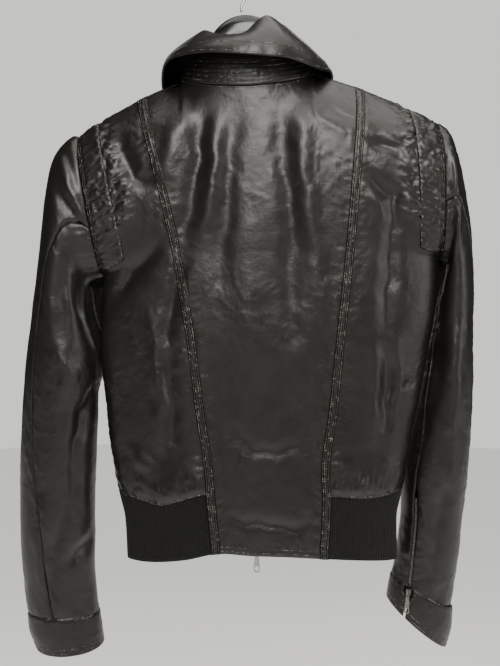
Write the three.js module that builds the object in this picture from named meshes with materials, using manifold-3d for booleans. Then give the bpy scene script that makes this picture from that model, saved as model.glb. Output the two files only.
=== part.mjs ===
// A short fitted leather jacket hanging on a moulded coat hanger.
// Units are millimetres and +Z is up. X runs across the back, left sleeve at -X, and the
// back of the jacket faces -Y. The origin is the inner top of the hook's curl, where a rail
// carries the hanger.
import * as THREE from "three";
import { mergeVertices } from "three/addons/utils/BufferGeometryUtils.js";
import Module from "manifold-3d";

const wasm = await Module();
wasm.setup();

// ---------------------------------------------------------------- driving dimensions
const LEATHER = 1.6; // wall of a single layer
const COLLAR_WALL = 2.6; // two layers and an interlining
const RIB_WALL = 2.2;
const RIB_RISE = 0.9; // how far a knitted rib stands out
const RIB_PITCH = 3.3;
const RIB_DRAWN_IN = 2; // how far the ribs draw the cloth in
const SEAM_GAP = 0.3; // between two pieces that are sewn together
const LAID_ON = 0.3; // between a panel and a strip sewn on it
const STRAP_WIDTH = 11;
const STRAP_WALL = 1.3;
const STRIP_WALL = 1.3; // the strips along the armholes
const PUCKER_RISE = 0.7;

const SEAM_Y = 0; // plane of the shoulder and side seams
const SHOULDER_LIFT = 6; // rise of the shoulder line between the neck and the sleeve
const SHOULDER_APART = 0.8; // how far back and front stay off that plane along the shoulders
const ARMHOLE_DEPTH = 42; // half the armhole's width, front to back
const UNDERARM = 0.3; // level at which the armhole ends and the side seam starts
const NECK = { x: 7, halfWidth: 84, back: 46, front: 52 };
const FRONT_GAP = 6; // from the middle of the front to the teeth of one side
const ZIP_TAPE = 7;
const ZIP_WALL = 1.5;
const ZIP_BEAD = 0.7; // how far the teeth stand out from the tape
const ZIP_END_LEVEL = 0.985; // where the front zip's slider begins

// The armhole's shoulder point and underarm point, seen from behind.
const ARMHOLES = {
  left: { topX: -208, topZ: -225, bottomX: -177, bottomZ: -402 },
  right: { topX: 250, topZ: -208, bottomX: 253, bottomZ: -380 },
};

// Side seams below the armholes, and how far back and front stand off the seams' plane.
const SIDE_SEAMS = table("level leftX leftZ rightX rightZ back front", [
  [0.3, -177, -402, 253, -380, 47, 50],
  [0.4, -179, -454, 250, -435, 47, 52],
  [0.5, -180, -505, 241, -490, 46, 52],
  [0.6, -174, -557, 230, -545, 44, 50],
  [0.7, -169, -608, 219, -599, 44, 50],
  [0.8, -160, -660, 209, -654, 46, 50],
  [0.85, -154, -686, 204, -681, 47, 50],
  [0.9, -148, -711, 198, -709, 47, 50],
  [1.0, -145, -763, 199, -764, 46, 49],
]);

// Upper levels have no side seam: only their depth is given.
const UPPER_DEPTH = table("level back front", [
  [0, 44, 40],
  [0.08, 48, 46],
  [0.16, 50, 50],
  [0.3, 47, 50],
]);

// The hem's droop or lift against a straight line between the two side seams.
const HEM_BACK = table("across rise", [
  [0, 0],
  [0.1, 1],
  [0.22, 6],
  [0.34, 15],
  [0.46, 13],
  [0.62, 11],
  [0.85, 5],
  [1, 0],
]);
const HEM_FRONT = table("across rise", [
  [0, 0],
  [0.3, -5],
  [0.5, -10],
  [0.7, -5],
  [1, 0],
]);

// Where the knitted ribs start: place is 0 at the side seam and 1 at the strap.
const RIB_TOP = table("place left right", [
  [0, 0.838, 0.842],
  [0.25, 0.853, 0.852],
  [0.45, 0.868, 0.857],
  [0.7, 0.861, 0.857],
  [0.85, 0.856, 0.855],
  [0.95, 0.855, 0.855],
  [1, 0.855, 0.855],
]);
const STRAP_RIB_LEVEL = 0.855; // the same place on the straps

// The two straps over the back's princess seams: X of the middle at each height.
const STRAPS = table("z left right", [
  [-150, -136, 156],
  [-200, -124, 150],
  [-262, -104, 143],
  [-335, -84, 136],
  [-403, -71, 129],
  [-471, -61, 122],
  [-565, -50, 113],
  [-630, -41, 104],
  [-680, -37, 105],
  [-745, -31, 102],
]);

// Width of the strip sewn along each armhole of the back. The panel's own grid keeps a line
// along its inner edge, and follows it on below the armhole.
const ARMHOLE_STRIP = table("level left right", [
  [0, 26, 39],
  [0.05, 28, 37],
  [0.15, 31, 33],
  [0.24, 32, 31],
  [0.3, 31, 30],
  [0.6, 34, 32],
  [1, 34, 32],
]);
const STRIP_ROWS = [2, 8]; // rows of the panel between which the strip lies
const STRIP_PUCKERS = 12;

// The collar, section by section round the neck: the neck seam is worked out from NECK.
// fold is the top of the stand, edge is the outer edge of the fall.
// drop is how soon the fall turns down after the fold.
const COLLAR = table("angle neckZ foldX foldY foldZ edgeX edgeY edgeZ drop", [
  [-170, -226, -16, 62, -196, -50, 70, -240, 0.05],
  [-150, -202, -31, 53, -154, -76, 67, -218, 0.05],
  [-120, -170, -47, 26, -106, -97, 36, -180, 0.1],
  [-90, -153, -50, 0, -92, -102, 2, -151, 0.4],
  [-60, -161, -45, -24, -98, -88, -38, -140, 0.8],
  [-30, -170, -27, -42, -106, -46, -68, -142, 0.5],
  [0, -173, 4, -49, -106, 6, -80, -148, 0.3],
  [30, -167, 33, -44, -97, 56, -70, -149, 0.5],
  [60, -156, 49, -26, -92, 96, -40, -152, 0.7],
  [90, -143, 54, 0, -84, 117, 2, -145, 0.8],
  [120, -162, 51, 26, -98, 112, 36, -170, 0.2],
  [150, -198, 38, 53, -148, 90, 67, -210, 0.05],
  [170, -224, 28, 62, -193, 62, 70, -236, 0.05],
]);

// Sleeves, ring by ring from the armhole to the wrist. outer is the side away from the body.
const SLEEVE_COLUMNS = "row outerX outerZ innerX innerZ middleY halfDepth";
const SLEEVES = {
  left: table(SLEEVE_COLUMNS, [
    [0, -208, -225, -177, -402, 0, 42],
    [1, -219, -228, -187, -406, 1, 45],
    [2, -232, -240, -198, -413, 2, 47],
    [3, -243, -262, -202, -431, 3, 49],
    [4, -250, -300, -201, -456, 4, 50],
    [5, -257, -350, -195, -478, 5, 49],
    [6, -264, -410, -189, -500, 6, 48],
    [7, -271, -465, -187, -530, 6, 47],
    [8, -277, -520, -188, -565, 6, 45],
    [9, -282, -590, -189, -615, 7, 43],
    [10, -285, -660, -190, -668, 7, 41],
    [11, -285, -725, -191, -722, 7, 39],
    [12, -283, -775, -191, -775, 8, 37],
    [13, -279, -812, -189, -813, 8, 35],
    [14, -274, -837, -186, -839, 8, 34],
  ]),
  right: table(SLEEVE_COLUMNS, [
    [0, 250, -208, 253, -380, 0, 42],
    [1, 263, -218, 263, -386, 1, 45],
    [2, 273, -238, 262, -398, 6, 48],
    [3, 281, -262, 259, -418, 10, 50],
    [4, 290, -299, 254, -442, 16, 52],
    [5, 297, -344, 249, -470, 20, 53],
    [6, 301, -399, 243, -497, 22, 52],
    [7, 301, -455, 238, -530, 22, 51],
    [8, 301, -512, 231, -566, 22, 49],
    [9, 300, -580, 222, -613, 20, 46],
    [10, 294, -656, 213, -663, 18, 43],
    [11, 288, -717, 210, -716, 21, 41],
    [12, 284, -761, 206, -754, 23, 39],
    [13, 279, -802, 202, -782, 24, 37],
    [14, 274, -837, 199, -795, 24, 36],
  ]),
};
const CUFFS = {
  left: table(SLEEVE_COLUMNS, [
    [0, -275, -837.5, -185, -839.5, 8, 35],
    [1, -273, -858, -182, -859, 8, 35.5],
    [2, -264, -879, -180, -877, 8, 35],
  ]),
  right: table(SLEEVE_COLUMNS, [
    [0, 276, -838, 198, -796, 24, 37],
    [1, 274, -862, 195, -810, 24, 37],
    [2, 267, -885, 193, -825, 24, 36],
  ]),
};

// The two lengthways seams of each sleeve, as angles round its rings: 0 is the outer side,
// 90 the back, 180 the inner side and 270 the front.
const SLEEVE_SEAMS = {
  left: table("row back inner", [
    [0, 113, 190],
    [3, 92, 196],
    [6, 55, 204],
    [9, 56, 212],
    [11, 76, 220],
    [14, 84, 228],
  ]),
  right: table("row back inner", [
    [0, 104, 176],
    [3, 74, 168],
    [6, 36, 156],
    [9, 20, 144],
    [11, 12, 134],
    [14, 8, 126],
  ]),
};
const CUFF_ZIP_TOP = 10.4; // row of the sleeve where the cuff's zip starts
const CUFF_ZIP_HALF = 3.4; // half the width of the zip between the leather's edges

// Folds of the cloth, each a soft line through three points, seen from behind (or from the
// front for FRONT_FOLDS). rise is positive for a ridge and negative for a trough.
const FOLD_COLUMNS = "name x1 z1 x2 z2 x3 z3 rise width";
const BACK_FOLDS = table(FOLD_COLUMNS, [
  ["neck pleat left", -40, -184, -56, -278, -65, -385, -3.6, 7],
  ["seam shadow left", -69, -390, -85, -433, -91, -479, -3.4, 8],
  ["neck ridge left", -32, -195, -40, -277, -43, -363, 2.6, 7],
  ["neck pleat middle", 2, -187, -14, -240, -26, -335, -2.2, 10],
  ["long trough", 47, -204, 59, -314, 64, -479, -4.2, 11],
  ["long ridge", 69, -184, 80, -302, 97, -437, 3.2, 8],
  ["collar crease right", 97, -177, 109, -201, 134, -221, -3.4, 6],
  ["collar ridge right", 82, -182, 97, -209, 125, -233, 2.4, 6],
  ["shoulder fold left", -147, -240, -132, -280, -105, -294, -5.5, 7],
  ["underarm fold left", -107, -372, -135, -402, -161, -437, -6, 7],
  ["blade crease right", 158, -238, 174, -247, 192, -252, -4, 5],
  ["blade fold right", 156, -285, 190, -309, 185, -353, -5, 7],
  ["side fold right", 185, -353, 181, -390, 181, -424, -4.5, 8],
  ["blade bulge right", 161, -309, 170, -321, 168, -346, 3, 8],
  ["waist ridge left", -109, -455, -102, -546, -101, -615, 3.2, 8],
  ["waist trough left", -88, -473, -86, -546, -85, -608, -3.2, 7],
  ["hip bulge left", -132, -627, -120, -639, -107, -649, 3.5, 9],
  ["waist trough right", 179, -498, 181, -546, 180, -590, -4.4, 7],
  ["waist ridge right", 164, -492, 165, -546, 163, -608, 2.6, 8],
  ["side ridge right", 194, -492, 195, -546, 192, -596, 2.6, 7],
  ["side crease right", 201, -546, 208, -544, 216, -541, -3, 4],
  ["hem crease", -12, -706, 36, -714, 86, -712, -2, 6],
  ["middle swell", 11, -351, 6, -473, 11, -608, 2.2, 22],
  ["waist crease middle", -16, -596, 17, -623, 72, -615, -1.8, 9],
]);
const FRONT_FOLDS = table(FOLD_COLUMNS, [
  ["chest fall left", -128, -236, -120, -330, -98, -430, -4, 9],
  ["chest ridge left", -98, -230, -92, -320, -76, -400, 3, 9],
  ["chest fall right", 168, -222, 158, -320, 140, -430, -4, 9],
  ["chest ridge right", 138, -215, 130, -300, 118, -390, 3, 9],
  ["underarm pull left", -165, -415, -132, -440, -96, -490, -4.5, 8],
  ["underarm pull right", 238, -395, 200, -430, 158, -480, -4.5, 8],
  ["waist trough left", -112, -490, -106, -560, -112, -640, -3.6, 8],
  ["waist ridge left", -86, -480, -80, -560, -86, -650, 3, 9],
  ["waist trough right", 165, -480, 160, -560, 158, -640, -3.6, 8],
  ["waist ridge right", 136, -470, 130, -560, 132, -650, 3, 9],
  ["zip swell left", -20, -300, -16, -450, -14, -620, 2.4, 14],
  ["zip swell right", 56, -300, 60, -450, 62, -600, 2.4, 14],
]);
const SLEEVE_FOLDS = {
  left: table(FOLD_COLUMNS, [
    ["cap ridge", -228, -263, -212, -300, -184, -336, 4, 6],
    ["cap trough", -234, -285, -214, -322, -187, -357, -3.6, 6],
    ["outer ridge", -237, -319, -240, -399, -236, -479, 3, 9],
    ["outer trough", -220, -368, -221, -424, -219, -479, -3.6, 8],
    ["elbow bulge", -219, -500, -216, -530, -221, -560, 4, 9],
    ["elbow fold", -173, -525, -199, -575, -209, -646, -6.5, 8],
    ["forearm fold", -209, -646, -210, -671, -208, -708, -4, 8],
    ["wrist pocket", -189, -733, -199, -751, -210, -766, -4.5, 7],
    ["wrist trough", -221, -698, -234, -758, -239, -810, -3.4, 8],
    ["wrist ridge", -251, -690, -251, -745, -246, -802, 2.4, 8],
  ]),
  right: table(FOLD_COLUMNS, [
    ["cap ridge", 252, -237, 262, -274, 266, -311, 3, 6],
    ["cap pocket", 251, -311, 260, -329, 262, -346, -5, 7],
    ["cap crest", 270, -319, 270, -343, 266, -369, 3, 5],
    ["long fold", 251, -431, 250, -512, 239, -573, -7, 8],
    ["long fold end", 239, -573, 228, -610, 220, -647, -5, 7],
    ["outer ridge", 271, -473, 267, -560, 259, -660, 4, 9],
    ["forearm trough", 260, -610, 251, -703, 240, -784, -4, 8],
    ["forearm ridge", 228, -685, 240, -741, 247, -797, 3, 6],
  ]),
};
const SLEEVE_FRONT_FOLDS = {
  left: table(FOLD_COLUMNS, [
    ["front cap fall", -232, -290, -214, -360, -204, -420, -4, 8],
    ["front elbow fold", -186, -500, -215, -540, -255, -556, -6, 8],
    ["front elbow ridge", -190, -530, -215, -566, -250, -584, 3.5, 8],
    ["front forearm fall", -250, -620, -240, -700, -236, -780, -3.6, 8],
  ]),
  right: table(FOLD_COLUMNS, [
    ["front cap fall", 272, -280, 268, -350, 262, -420, -4, 8],
    ["front elbow fold", 240, -500, 262, -540, 290, -550, -6, 8],
    ["front elbow ridge", 238, -530, 260, -566, 286, -580, 3.5, 8],
    ["front forearm fall", 262, -620, 250, -700, 240, -770, -3.6, 8],
  ]),
};

// Gathers where the leather is drawn in above the ribs: across is the place along the row.
const GATHERS = table("across rise width", [
  [0.035, 2.0, 0.012],
  [0.07, 2.6, 0.014],
  [0.115, 3.2, 0.016],
  [0.16, 2.2, 0.012],
  [0.205, 2.6, 0.015],
  [0.25, 1.8, 0.012],
  [0.745, 1.8, 0.012],
  [0.785, 2.8, 0.015],
  [0.83, 2.2, 0.012],
  [0.872, 3.2, 0.016],
  [0.915, 2.6, 0.013],
  [0.955, 2.2, 0.012],
]);

// The hanger: the top line of its arms at each X, and its section there.
const HANGER = table("x top halfWidth height", [
  [-196, -225, 4, 9],
  [-190, -218.5, 7, 19],
  [-160, -198.7, 9, 26],
  [-120, -178.2, 9, 28],
  [-90, -165.8, 9, 28],
  [-66, -152, 9, 30],
  [-50, -124, 9, 34],
  [-38, -90, 9, 38],
  [-20, -72, 9, 42],
  [0, -65, 9.5, 44],
  [20, -67, 9, 42],
  [40, -78, 9, 38],
  [54, -112, 9, 34],
  [70, -142, 9, 30],
  [98, -154.5, 9, 28],
  [140, -166, 9, 28],
  [190, -186, 9, 26],
  [226, -203.5, 8, 19],
  [233, -209, 4, 9],
]);
const HOOK = { wire: 3.6, curlRadius: 20, stem: 10 };

// Zip sliders and their hanging pull tabs. scale 1 is the front zip's.
const SLIDER = {
  width: 8,
  height: 9,
  thick: 2.6,
  bridgeReach: 4,
  bridgeRise: 3,
  bridgeWidth: 1.8,
  bar: 1,
};
const PULL = { length: 33, thick: 1.3, neck: 5.4, end: 9, eyeRadius: 2.7, pivotBar: 1.3 };
const PULL_PIVOT_RISE = 1.5; // the pivot bar's middle above the slider's face
const FRONT_PIVOT_RISE = 3.4; // and above the cloth, on the front
const CUFF_PIVOT_RISE = 3; // and on a cuff
const CUFF_SLIDER_SCALE = 0.8;
const CUFF_SLIDER_TILT = { left: 5, right: 8 }; // degrees the slider leans with its cuff
const CUFF_SLIDER_DROP = { left: 0.8, right: 1.4 }; // from the zip's end to its slider

const COLOURS = {
  leather: 0x24231f,
  rib: 0x1d1c19,
  metal: 0xa7a59c,
  tape: 0x1c1b19,
  hanger: 0x17171a,
};

// ---------------------------------------------------------------- tables and small maths
function table(columns, rows) {
  const names = columns.split(" ");
  return rows.map((row) => Object.fromEntries(names.map((name, i) => [name, row[i]])));
}

// Value of a column where another column has the value at, on a smooth curve.
function lookup(rows, key, at, column) {
  const last = rows.length - 1;
  const down = rows[0][key] > rows[last][key] ? -1 : 1;
  let i = 0;
  while (i < last - 1 && (rows[i + 1][key] - at) * down < 0) i++;
  const [p0, p1, p2, p3] = [i - 1, i, i + 1, i + 2].map(
    (k) => rows[Math.min(Math.max(k, 0), last)],
  );
  const span = p2[key] - p1[key];
  const f = Math.min(Math.max((at - p1[key]) / span, 0), 1);
  const slope = (a, b) => (b[key] === a[key] ? 0 : (b[column] - a[column]) / (b[key] - a[key]));
  const m1 = slope(p0, p2) * span;
  const m2 = slope(p1, p3) * span;
  const f2 = f * f;
  const f3 = f2 * f;
  return (
    (2 * f3 - 3 * f2 + 1) * p1[column] +
    (f3 - 2 * f2 + f) * m1 +
    (3 * f2 - 2 * f3) * p2[column] +
    (f3 - f2) * m2
  );
}

const lerp = (a, b, f) => a + (b - a) * f;
const clamp01 = (f) => Math.min(Math.max(f, 0), 1);
const radians = (degrees) => (degrees * Math.PI) / 180;

function smoothstep(low, high, at) {
  const f = clamp01((at - low) / (high - low));
  return f * f * (3 - 2 * f);
}

// How far a point is pushed out by a list of folds, seen in the XZ plane.
function foldRise(folds, x, z) {
  let rise = 0;
  for (const fold of folds) rise += foldProfile(fold, x, z) * fold.rise;
  return rise;
}

function foldProfile(fold, x, z) {
  const points = [
    [fold.x1, fold.z1],
    [fold.x2, fold.z2],
    [fold.x3, fold.z3],
  ];
  let best = Infinity;
  let along = 0;
  for (let i = 0; i < 2; i++) {
    const [ax, az] = points[i];
    const [bx, bz] = points[i + 1];
    const length2 = (bx - ax) ** 2 + (bz - az) ** 2;
    const f = clamp01(((x - ax) * (bx - ax) + (z - az) * (bz - az)) / length2);
    const distance = Math.hypot(x - lerp(ax, bx, f), z - lerp(az, bz, f));
    if (distance < best) {
      best = distance;
      along = (i + f) / 2;
    }
  }
  const taper = 0.25 + 0.75 * Math.sin(Math.PI * clamp01(along * 0.9 + 0.05));
  return taper * Math.exp(-((best / fold.width) ** 2));
}

// ---------------------------------------------------------------- the body's surface
// level runs from 0 at the shoulder line to 1 at the hem, and across from 0 at the left edge
// to 1 at the right edge. face is -1 for the back and 1 for the front.
function bodyEdge(side, face, level) {
  if (level <= UNDERARM) {
    const hole = ARMHOLES[side];
    const turn = (Math.PI * Math.max(level, 0)) / UNDERARM;
    const down = (1 - Math.cos(turn)) / 2;
    return new THREE.Vector3(
      lerp(hole.topX, hole.bottomX, down),
      SEAM_Y + face * ARMHOLE_DEPTH * Math.sin(turn),
      lerp(hole.topZ, hole.bottomZ, down),
    );
  }
  return new THREE.Vector3(
    lookup(SIDE_SEAMS, "level", level, side + "X"),
    SEAM_Y,
    lookup(SIDE_SEAMS, "level", level, side + "Z"),
  );
}

// The neck seam, 0 degrees at the middle of the back and 180 at the middle of the front.
function neckPoint(angle) {
  const turn = radians(angle);
  const depth = Math.cos(turn) > 0 ? NECK.back : NECK.front;
  return new THREE.Vector3(
    NECK.x + NECK.halfWidth * Math.sin(turn),
    SEAM_Y - depth * Math.cos(turn),
    lookup(COLLAR, "angle", angle, "neckZ"),
  );
}

const NECK_ENDS = (() => {
  const left = ARMHOLES.left.topX;
  const width = ARMHOLES.right.topX - left;
  const place = (x) => (x - left) / width;
  return [place(NECK.x - NECK.halfWidth), place(NECK.x + NECK.halfWidth)];
})();

// The shoulder seams and the neckline, where the body begins.
function topPoint(face, across) {
  const [start, end] = NECK_ENDS;
  if (across > start && across < end) {
    const f = (across - start) / (end - start);
    if (face < 0) return neckPoint(lerp(-90, 90, f));
    return neckPoint(f < 0.5 ? lerp(-90, -180, f * 2) : lerp(180, 90, f * 2 - 1));
  }
  const left = across <= start;
  const hole = ARMHOLES[left ? "left" : "right"];
  const neck = neckPoint(left ? -90 : 90);
  const f = left ? across / start : (1 - across) / (1 - end);
  const lift = SHOULDER_LIFT * Math.sin(Math.PI * f);
  return new THREE.Vector3(
    lerp(hole.topX, neck.x, f),
    SEAM_Y + face * SHOULDER_APART,
    lerp(hole.topZ, neck.z, f) + lift,
  );
}

const TOP_BLEND = 0.42; // level down to which the shoulder line's shape is felt
const TENT_BLEND = 0.1; // level at which the cloth has left the shoulder line

function bodyPoint(face, across, level) {
  const left = bodyEdge("left", face, level);
  const right = bodyEdge("right", face, level);
  const point = left.clone().lerp(right, across);
  const centred = Math.min(Math.abs(2 * across - 1), 1);
  const row = {
    left: lerp(bodyEdge("left", face, 0).z, lookup(SIDE_SEAMS, "level", 1, "leftZ"), level),
    right: lerp(bodyEdge("right", face, 0).z, lookup(SIDE_SEAMS, "level", 1, "rightZ"), level),
  };
  const inside = smoothstep(0, 0.2, Math.min(across, 1 - across));
  point.z = lerp(point.z, lerp(row.left, row.right, across), inside);

  const depths = level < UNDERARM ? UPPER_DEPTH : SIDE_SEAMS;
  const reach = lookup(depths, "level", level, face < 0 ? "back" : "front");
  const open = level < UNDERARM ? Math.sin((Math.PI * Math.max(level, 0)) / UNDERARM) : 0;
  const round = (1 - centred ** 2.6) ** (1 / 2.4);
  const crown = lerp(round, 1 - centred ** 3, open);
  point.y = lerp(point.y, face * reach, crown);

  const top = topPoint(face, across);
  const flat = bodyEdge("left", face, 0).lerp(bodyEdge("right", face, 0), across);
  const shape = (1 - clamp01(level / TOP_BLEND)) ** 2;
  point.x += (top.x - flat.x) * shape;
  point.z += (top.z - flat.z) * shape;
  const tent = (1 - clamp01(level / TENT_BLEND)) ** 2;
  point.y = lerp(point.y, top.y, tent);

  const hem = face < 0 ? HEM_BACK : HEM_FRONT;
  point.z += lookup(hem, "across", across, "rise") * level ** 3;

  point.y += face * bodyFolds(face, across, level, point);
  return point;
}

// Folds fade out towards the armholes, the neck, the side seams and the ribs.
function bodyFolds(face, across, level, point) {
  const edge = Math.min(across, 1 - across);
  const fade = smoothstep(0.02, 0.09, level) * smoothstep(0, 0.05, edge);
  const rise = foldRise(face < 0 ? BACK_FOLDS : FRONT_FOLDS, point.x, point.z) * fade;
  const side = across < 0.5 ? "left" : "right";
  const ribEnd = face < 0 ? strapPlace(side, level) : 0.5;
  const free = rise * smoothstep(1, 0.96, level);
  if (edge >= ribEnd) return free;
  const top = ribTop(side, edge / ribEnd);
  const drawn = smoothstep(top - 0.11, top - 0.03, level) * smoothstep(top, top - 0.02, level);
  const blouse = 3.5 * smoothstep(0, 0.03, edge);
  let gathers = 0;
  for (const g of GATHERS) gathers += g.rise * Math.exp(-(((across - g.across) / g.width) ** 2));
  const held = rise * smoothstep(top, top - 0.04, level) + (blouse + gathers) * drawn;
  return lerp(free, held, smoothstep(0, 0.04, ribEnd - edge));
}

function ribTop(side, place) {
  return lookup(RIB_TOP, "place", clamp01(place), side);
}

// How wide the body is at a level, from one side seam or armhole to the other.
function bodyWidth(level) {
  return bodyEdge("right", -1, level).x - bodyEdge("left", -1, level).x;
}

// A strap's middle as a part of the body's width, counted from its own side.
function strapPlace(side, level) {
  const x = lookup(STRAPS, "z", lerp(-185, -757, level), side);
  return Math.abs(x - bodyEdge(side, -1, level).x) / bodyWidth(level);
}

// Counts a place from the left edge that is given from its own side.
const fromLeft = (side, place) => (side === "left" ? place : 1 - place);

// ---------------------------------------------------------------- the sleeves' surface
function ringPoint(rows, folds, frontFolds, angle, row) {
  const value = (column) => lookup(rows, "row", row, column);
  const outer = new THREE.Vector3(value("outerX"), value("middleY"), value("outerZ"));
  const inner = new THREE.Vector3(value("innerX"), value("middleY"), value("innerZ"));
  const middle = outer.clone().lerp(inner, 0.5);
  const turn = radians(angle);
  const axis = outer.clone().sub(middle);
  const radial = axis.clone().normalize().multiplyScalar(Math.cos(turn));
  radial.y -= Math.sin(turn);
  const point = middle.addScaledVector(axis, Math.cos(turn));
  point.y -= value("halfDepth") * Math.sin(turn);
  if (!folds) return point;
  const fade = smoothstep(0.2, 1.2, row) * smoothstep(14, 13.2, row);
  const back = smoothstep(0.05, 0.45, Math.sin(turn));
  const front = smoothstep(0.05, 0.45, -Math.sin(turn));
  const rise =
    back * foldRise(folds, point.x, point.z) + front * foldRise(frontFolds, point.x, point.z);
  return point.addScaledVector(radial, rise * fade);
}

function sleevePoint(side, angle, row) {
  const folds = [SLEEVE_FOLDS[side], SLEEVE_FRONT_FOLDS[side]];
  const point = ringPoint(SLEEVES[side], ...folds, angle, row);
  // The sleeve's head starts just off the body's edge, more so under the arm.
  const off = (0.9 + 1.1 * ((1 - Math.cos(radians(angle))) / 2)) * smoothstep(1, 0, row);
  point.x += side === "left" ? -off : off;
  return point;
}

// ---------------------------------------------------------------- making solids
// A grid of points and normals on a surface(u, v). flip is -1 where the surface's own
// normal points inwards.
function surfaceGrid(surface, us, vs, flip) {
  const uStep = 0.002 * Math.abs(us[us.length - 1] - us[0]);
  const vStep = 0.002 * Math.abs(vs[vs.length - 1] - vs[0]);
  const grid = { columns: us.length, rows: vs.length, points: [], normals: [] };
  for (const v of vs) {
    for (const u of us) {
      const du = surface(u + uStep, v).sub(surface(u - uStep, v));
      const dv = surface(u, v + vStep).sub(surface(u, v - vStep));
      grid.normals.push(du.cross(dv).normalize().multiplyScalar(flip));
      grid.points.push(surface(u, v));
    }
  }
  return grid;
}

// A closed wall on a grid: lift is how far its middle stands off the grid's points, and
// rise(column, row) how much further its outer side stands out.
function wallOn(grid, { wall, lift = 0, rise = null, gap = SEAM_GAP }) {
  const { columns, rows, normals } = grid;
  const middle = grid.points.map((p) => p.clone());
  trimEdges(middle, columns, rows, gap / 2);
  const outer = middle.map((p, i) => {
    const extra = rise ? rise(i % columns, Math.floor(i / columns)) : 0;
    return p.clone().addScaledVector(normals[i], lift + wall / 2 + extra);
  });
  const inner = middle.map((p, i) => p.clone().addScaledVector(normals[i], lift - wall / 2));
  return shellGeometry(outer, inner, columns, rows);
}

// Some rows and columns of a grid, with each row's step cut into finer ones.
function partOfGrid(grid, [firstColumn, lastColumn], [firstRow, lastRow], cuts) {
  const part = { columns: lastColumn - firstColumn + 1, rows: 0, points: [], normals: [] };
  for (let r = firstRow; r <= lastRow; r++) {
    for (let cut = 0; cut < (r < lastRow ? cuts : 1); cut++) {
      for (let c = firstColumn; c <= lastColumn; c++) {
        const a = r * grid.columns + c;
        const b = Math.min(r + 1, grid.rows - 1) * grid.columns + c;
        part.points.push(grid.points[a].clone().lerp(grid.points[b], cut / cuts));
        part.normals.push(grid.normals[a].clone().lerp(grid.normals[b], cut / cuts));
      }
      part.rows++;
    }
  }
  return part;
}

// Draws the outer rows and columns of a grid of points in by a small distance.
function trimEdges(points, columns, rows, distance) {
  const pull = (edge, next) => {
    const step = points[next].clone().sub(points[edge]);
    points[edge].addScaledVector(step.normalize(), distance);
  };
  for (let r = 0; r < rows; r++) {
    pull(r * columns, r * columns + 1);
    pull(r * columns + columns - 1, r * columns + columns - 2);
  }
  for (let c = 0; c < columns; c++) {
    pull(c, columns + c);
    pull((rows - 1) * columns + c, (rows - 2) * columns + c);
  }
}

function shellGeometry(outer, inner, columns, rows) {
  const shift = outer.length;
  const triangles = [];
  const quad = (a, b, c, d) => triangles.push(a, b, c, a, c, d);
  for (let r = 0; r < rows - 1; r++) {
    for (let c = 0; c < columns - 1; c++) {
      const a = r * columns + c;
      quad(a, a + 1, a + 1 + columns, a + columns);
      quad(a + shift, a + shift + columns, a + 1 + shift + columns, a + 1 + shift);
    }
  }
  const rim = (a, b) => quad(b, a, a + shift, b + shift);
  const last = (rows - 1) * columns;
  for (let c = 0; c < columns - 1; c++) {
    rim(c, c + 1);
    rim(last + c + 1, last + c);
  }
  for (let r = 0; r < rows - 1; r++) {
    rim((r + 1) * columns, r * columns);
    rim(r * columns + columns - 1, (r + 1) * columns + columns - 1);
  }
  return closedGeometry([...outer, ...inner], triangles);
}

// A geometry of shared points whose faces point outwards.
function closedGeometry(points, triangles) {
  const volume = new THREE.Vector3();
  let sum = 0;
  for (let i = 0; i < triangles.length; i += 3) {
    const [a, b, c] = [0, 1, 2].map((k) => points[triangles[i + k]]);
    sum += a.dot(volume.copy(b).cross(c));
  }
  if (sum < 0) triangles.reverse();
  const geometry = new THREE.BufferGeometry();
  geometry.setAttribute(
    "position",
    new THREE.Float32BufferAttribute(points.flatMap((p) => p.toArray()), 3),
  );
  geometry.setIndex(triangles);
  return mergeVertices(geometry, 1e-4);
}

// A solid through closed rings of points, with flat ends.
function loftGeometry(rings) {
  const sides = rings[0].length;
  const points = rings.flat();
  const triangles = [];
  for (let r = 0; r < rings.length - 1; r++) {
    for (let k = 0; k < sides; k++) {
      const a = r * sides + k;
      const b = r * sides + ((k + 1) % sides);
      triangles.push(a, b, b + sides, a, b + sides, a + sides);
    }
  }
  const last = (rings.length - 1) * sides;
  for (let k = 1; k < sides - 1; k++) {
    triangles.push(0, k + 1, k);
    triangles.push(last, last + k, last + k + 1);
  }
  return closedGeometry(points, triangles);
}

const even = (from, to, steps) =>
  Array.from({ length: steps + 1 }, (_, i) => lerp(from, to, i / steps));

function material(colour, roughness, metalness = 0) {
  return new THREE.MeshStandardMaterial({ color: colour, roughness, metalness });
}

function named(name, geometry, finish) {
  const mesh = new THREE.Mesh(geometry, finish);
  mesh.name = name;
  return mesh;
}

// ---------------------------------------------------------------- back and front panels
// Rows of every panel, as parts of the way from the shoulder line to the ribs.
const PANEL_ROWS = [
  0, 0.025, 0.05, 0.085, 0.125, 0.165, 0.21, 0.255, 0.3, 0.36, 0.42, 0.48, 0.54, 0.6, 0.66, 0.72,
  0.78, 0.83, 0.88, 0.92, 0.96, 1,
];
// The middle of the back goes on down to the hem.
const CENTRE_LEVELS = [...PANEL_ROWS.map((v) => v * STRAP_RIB_LEVEL), 0.9, 0.95, 1];

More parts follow.
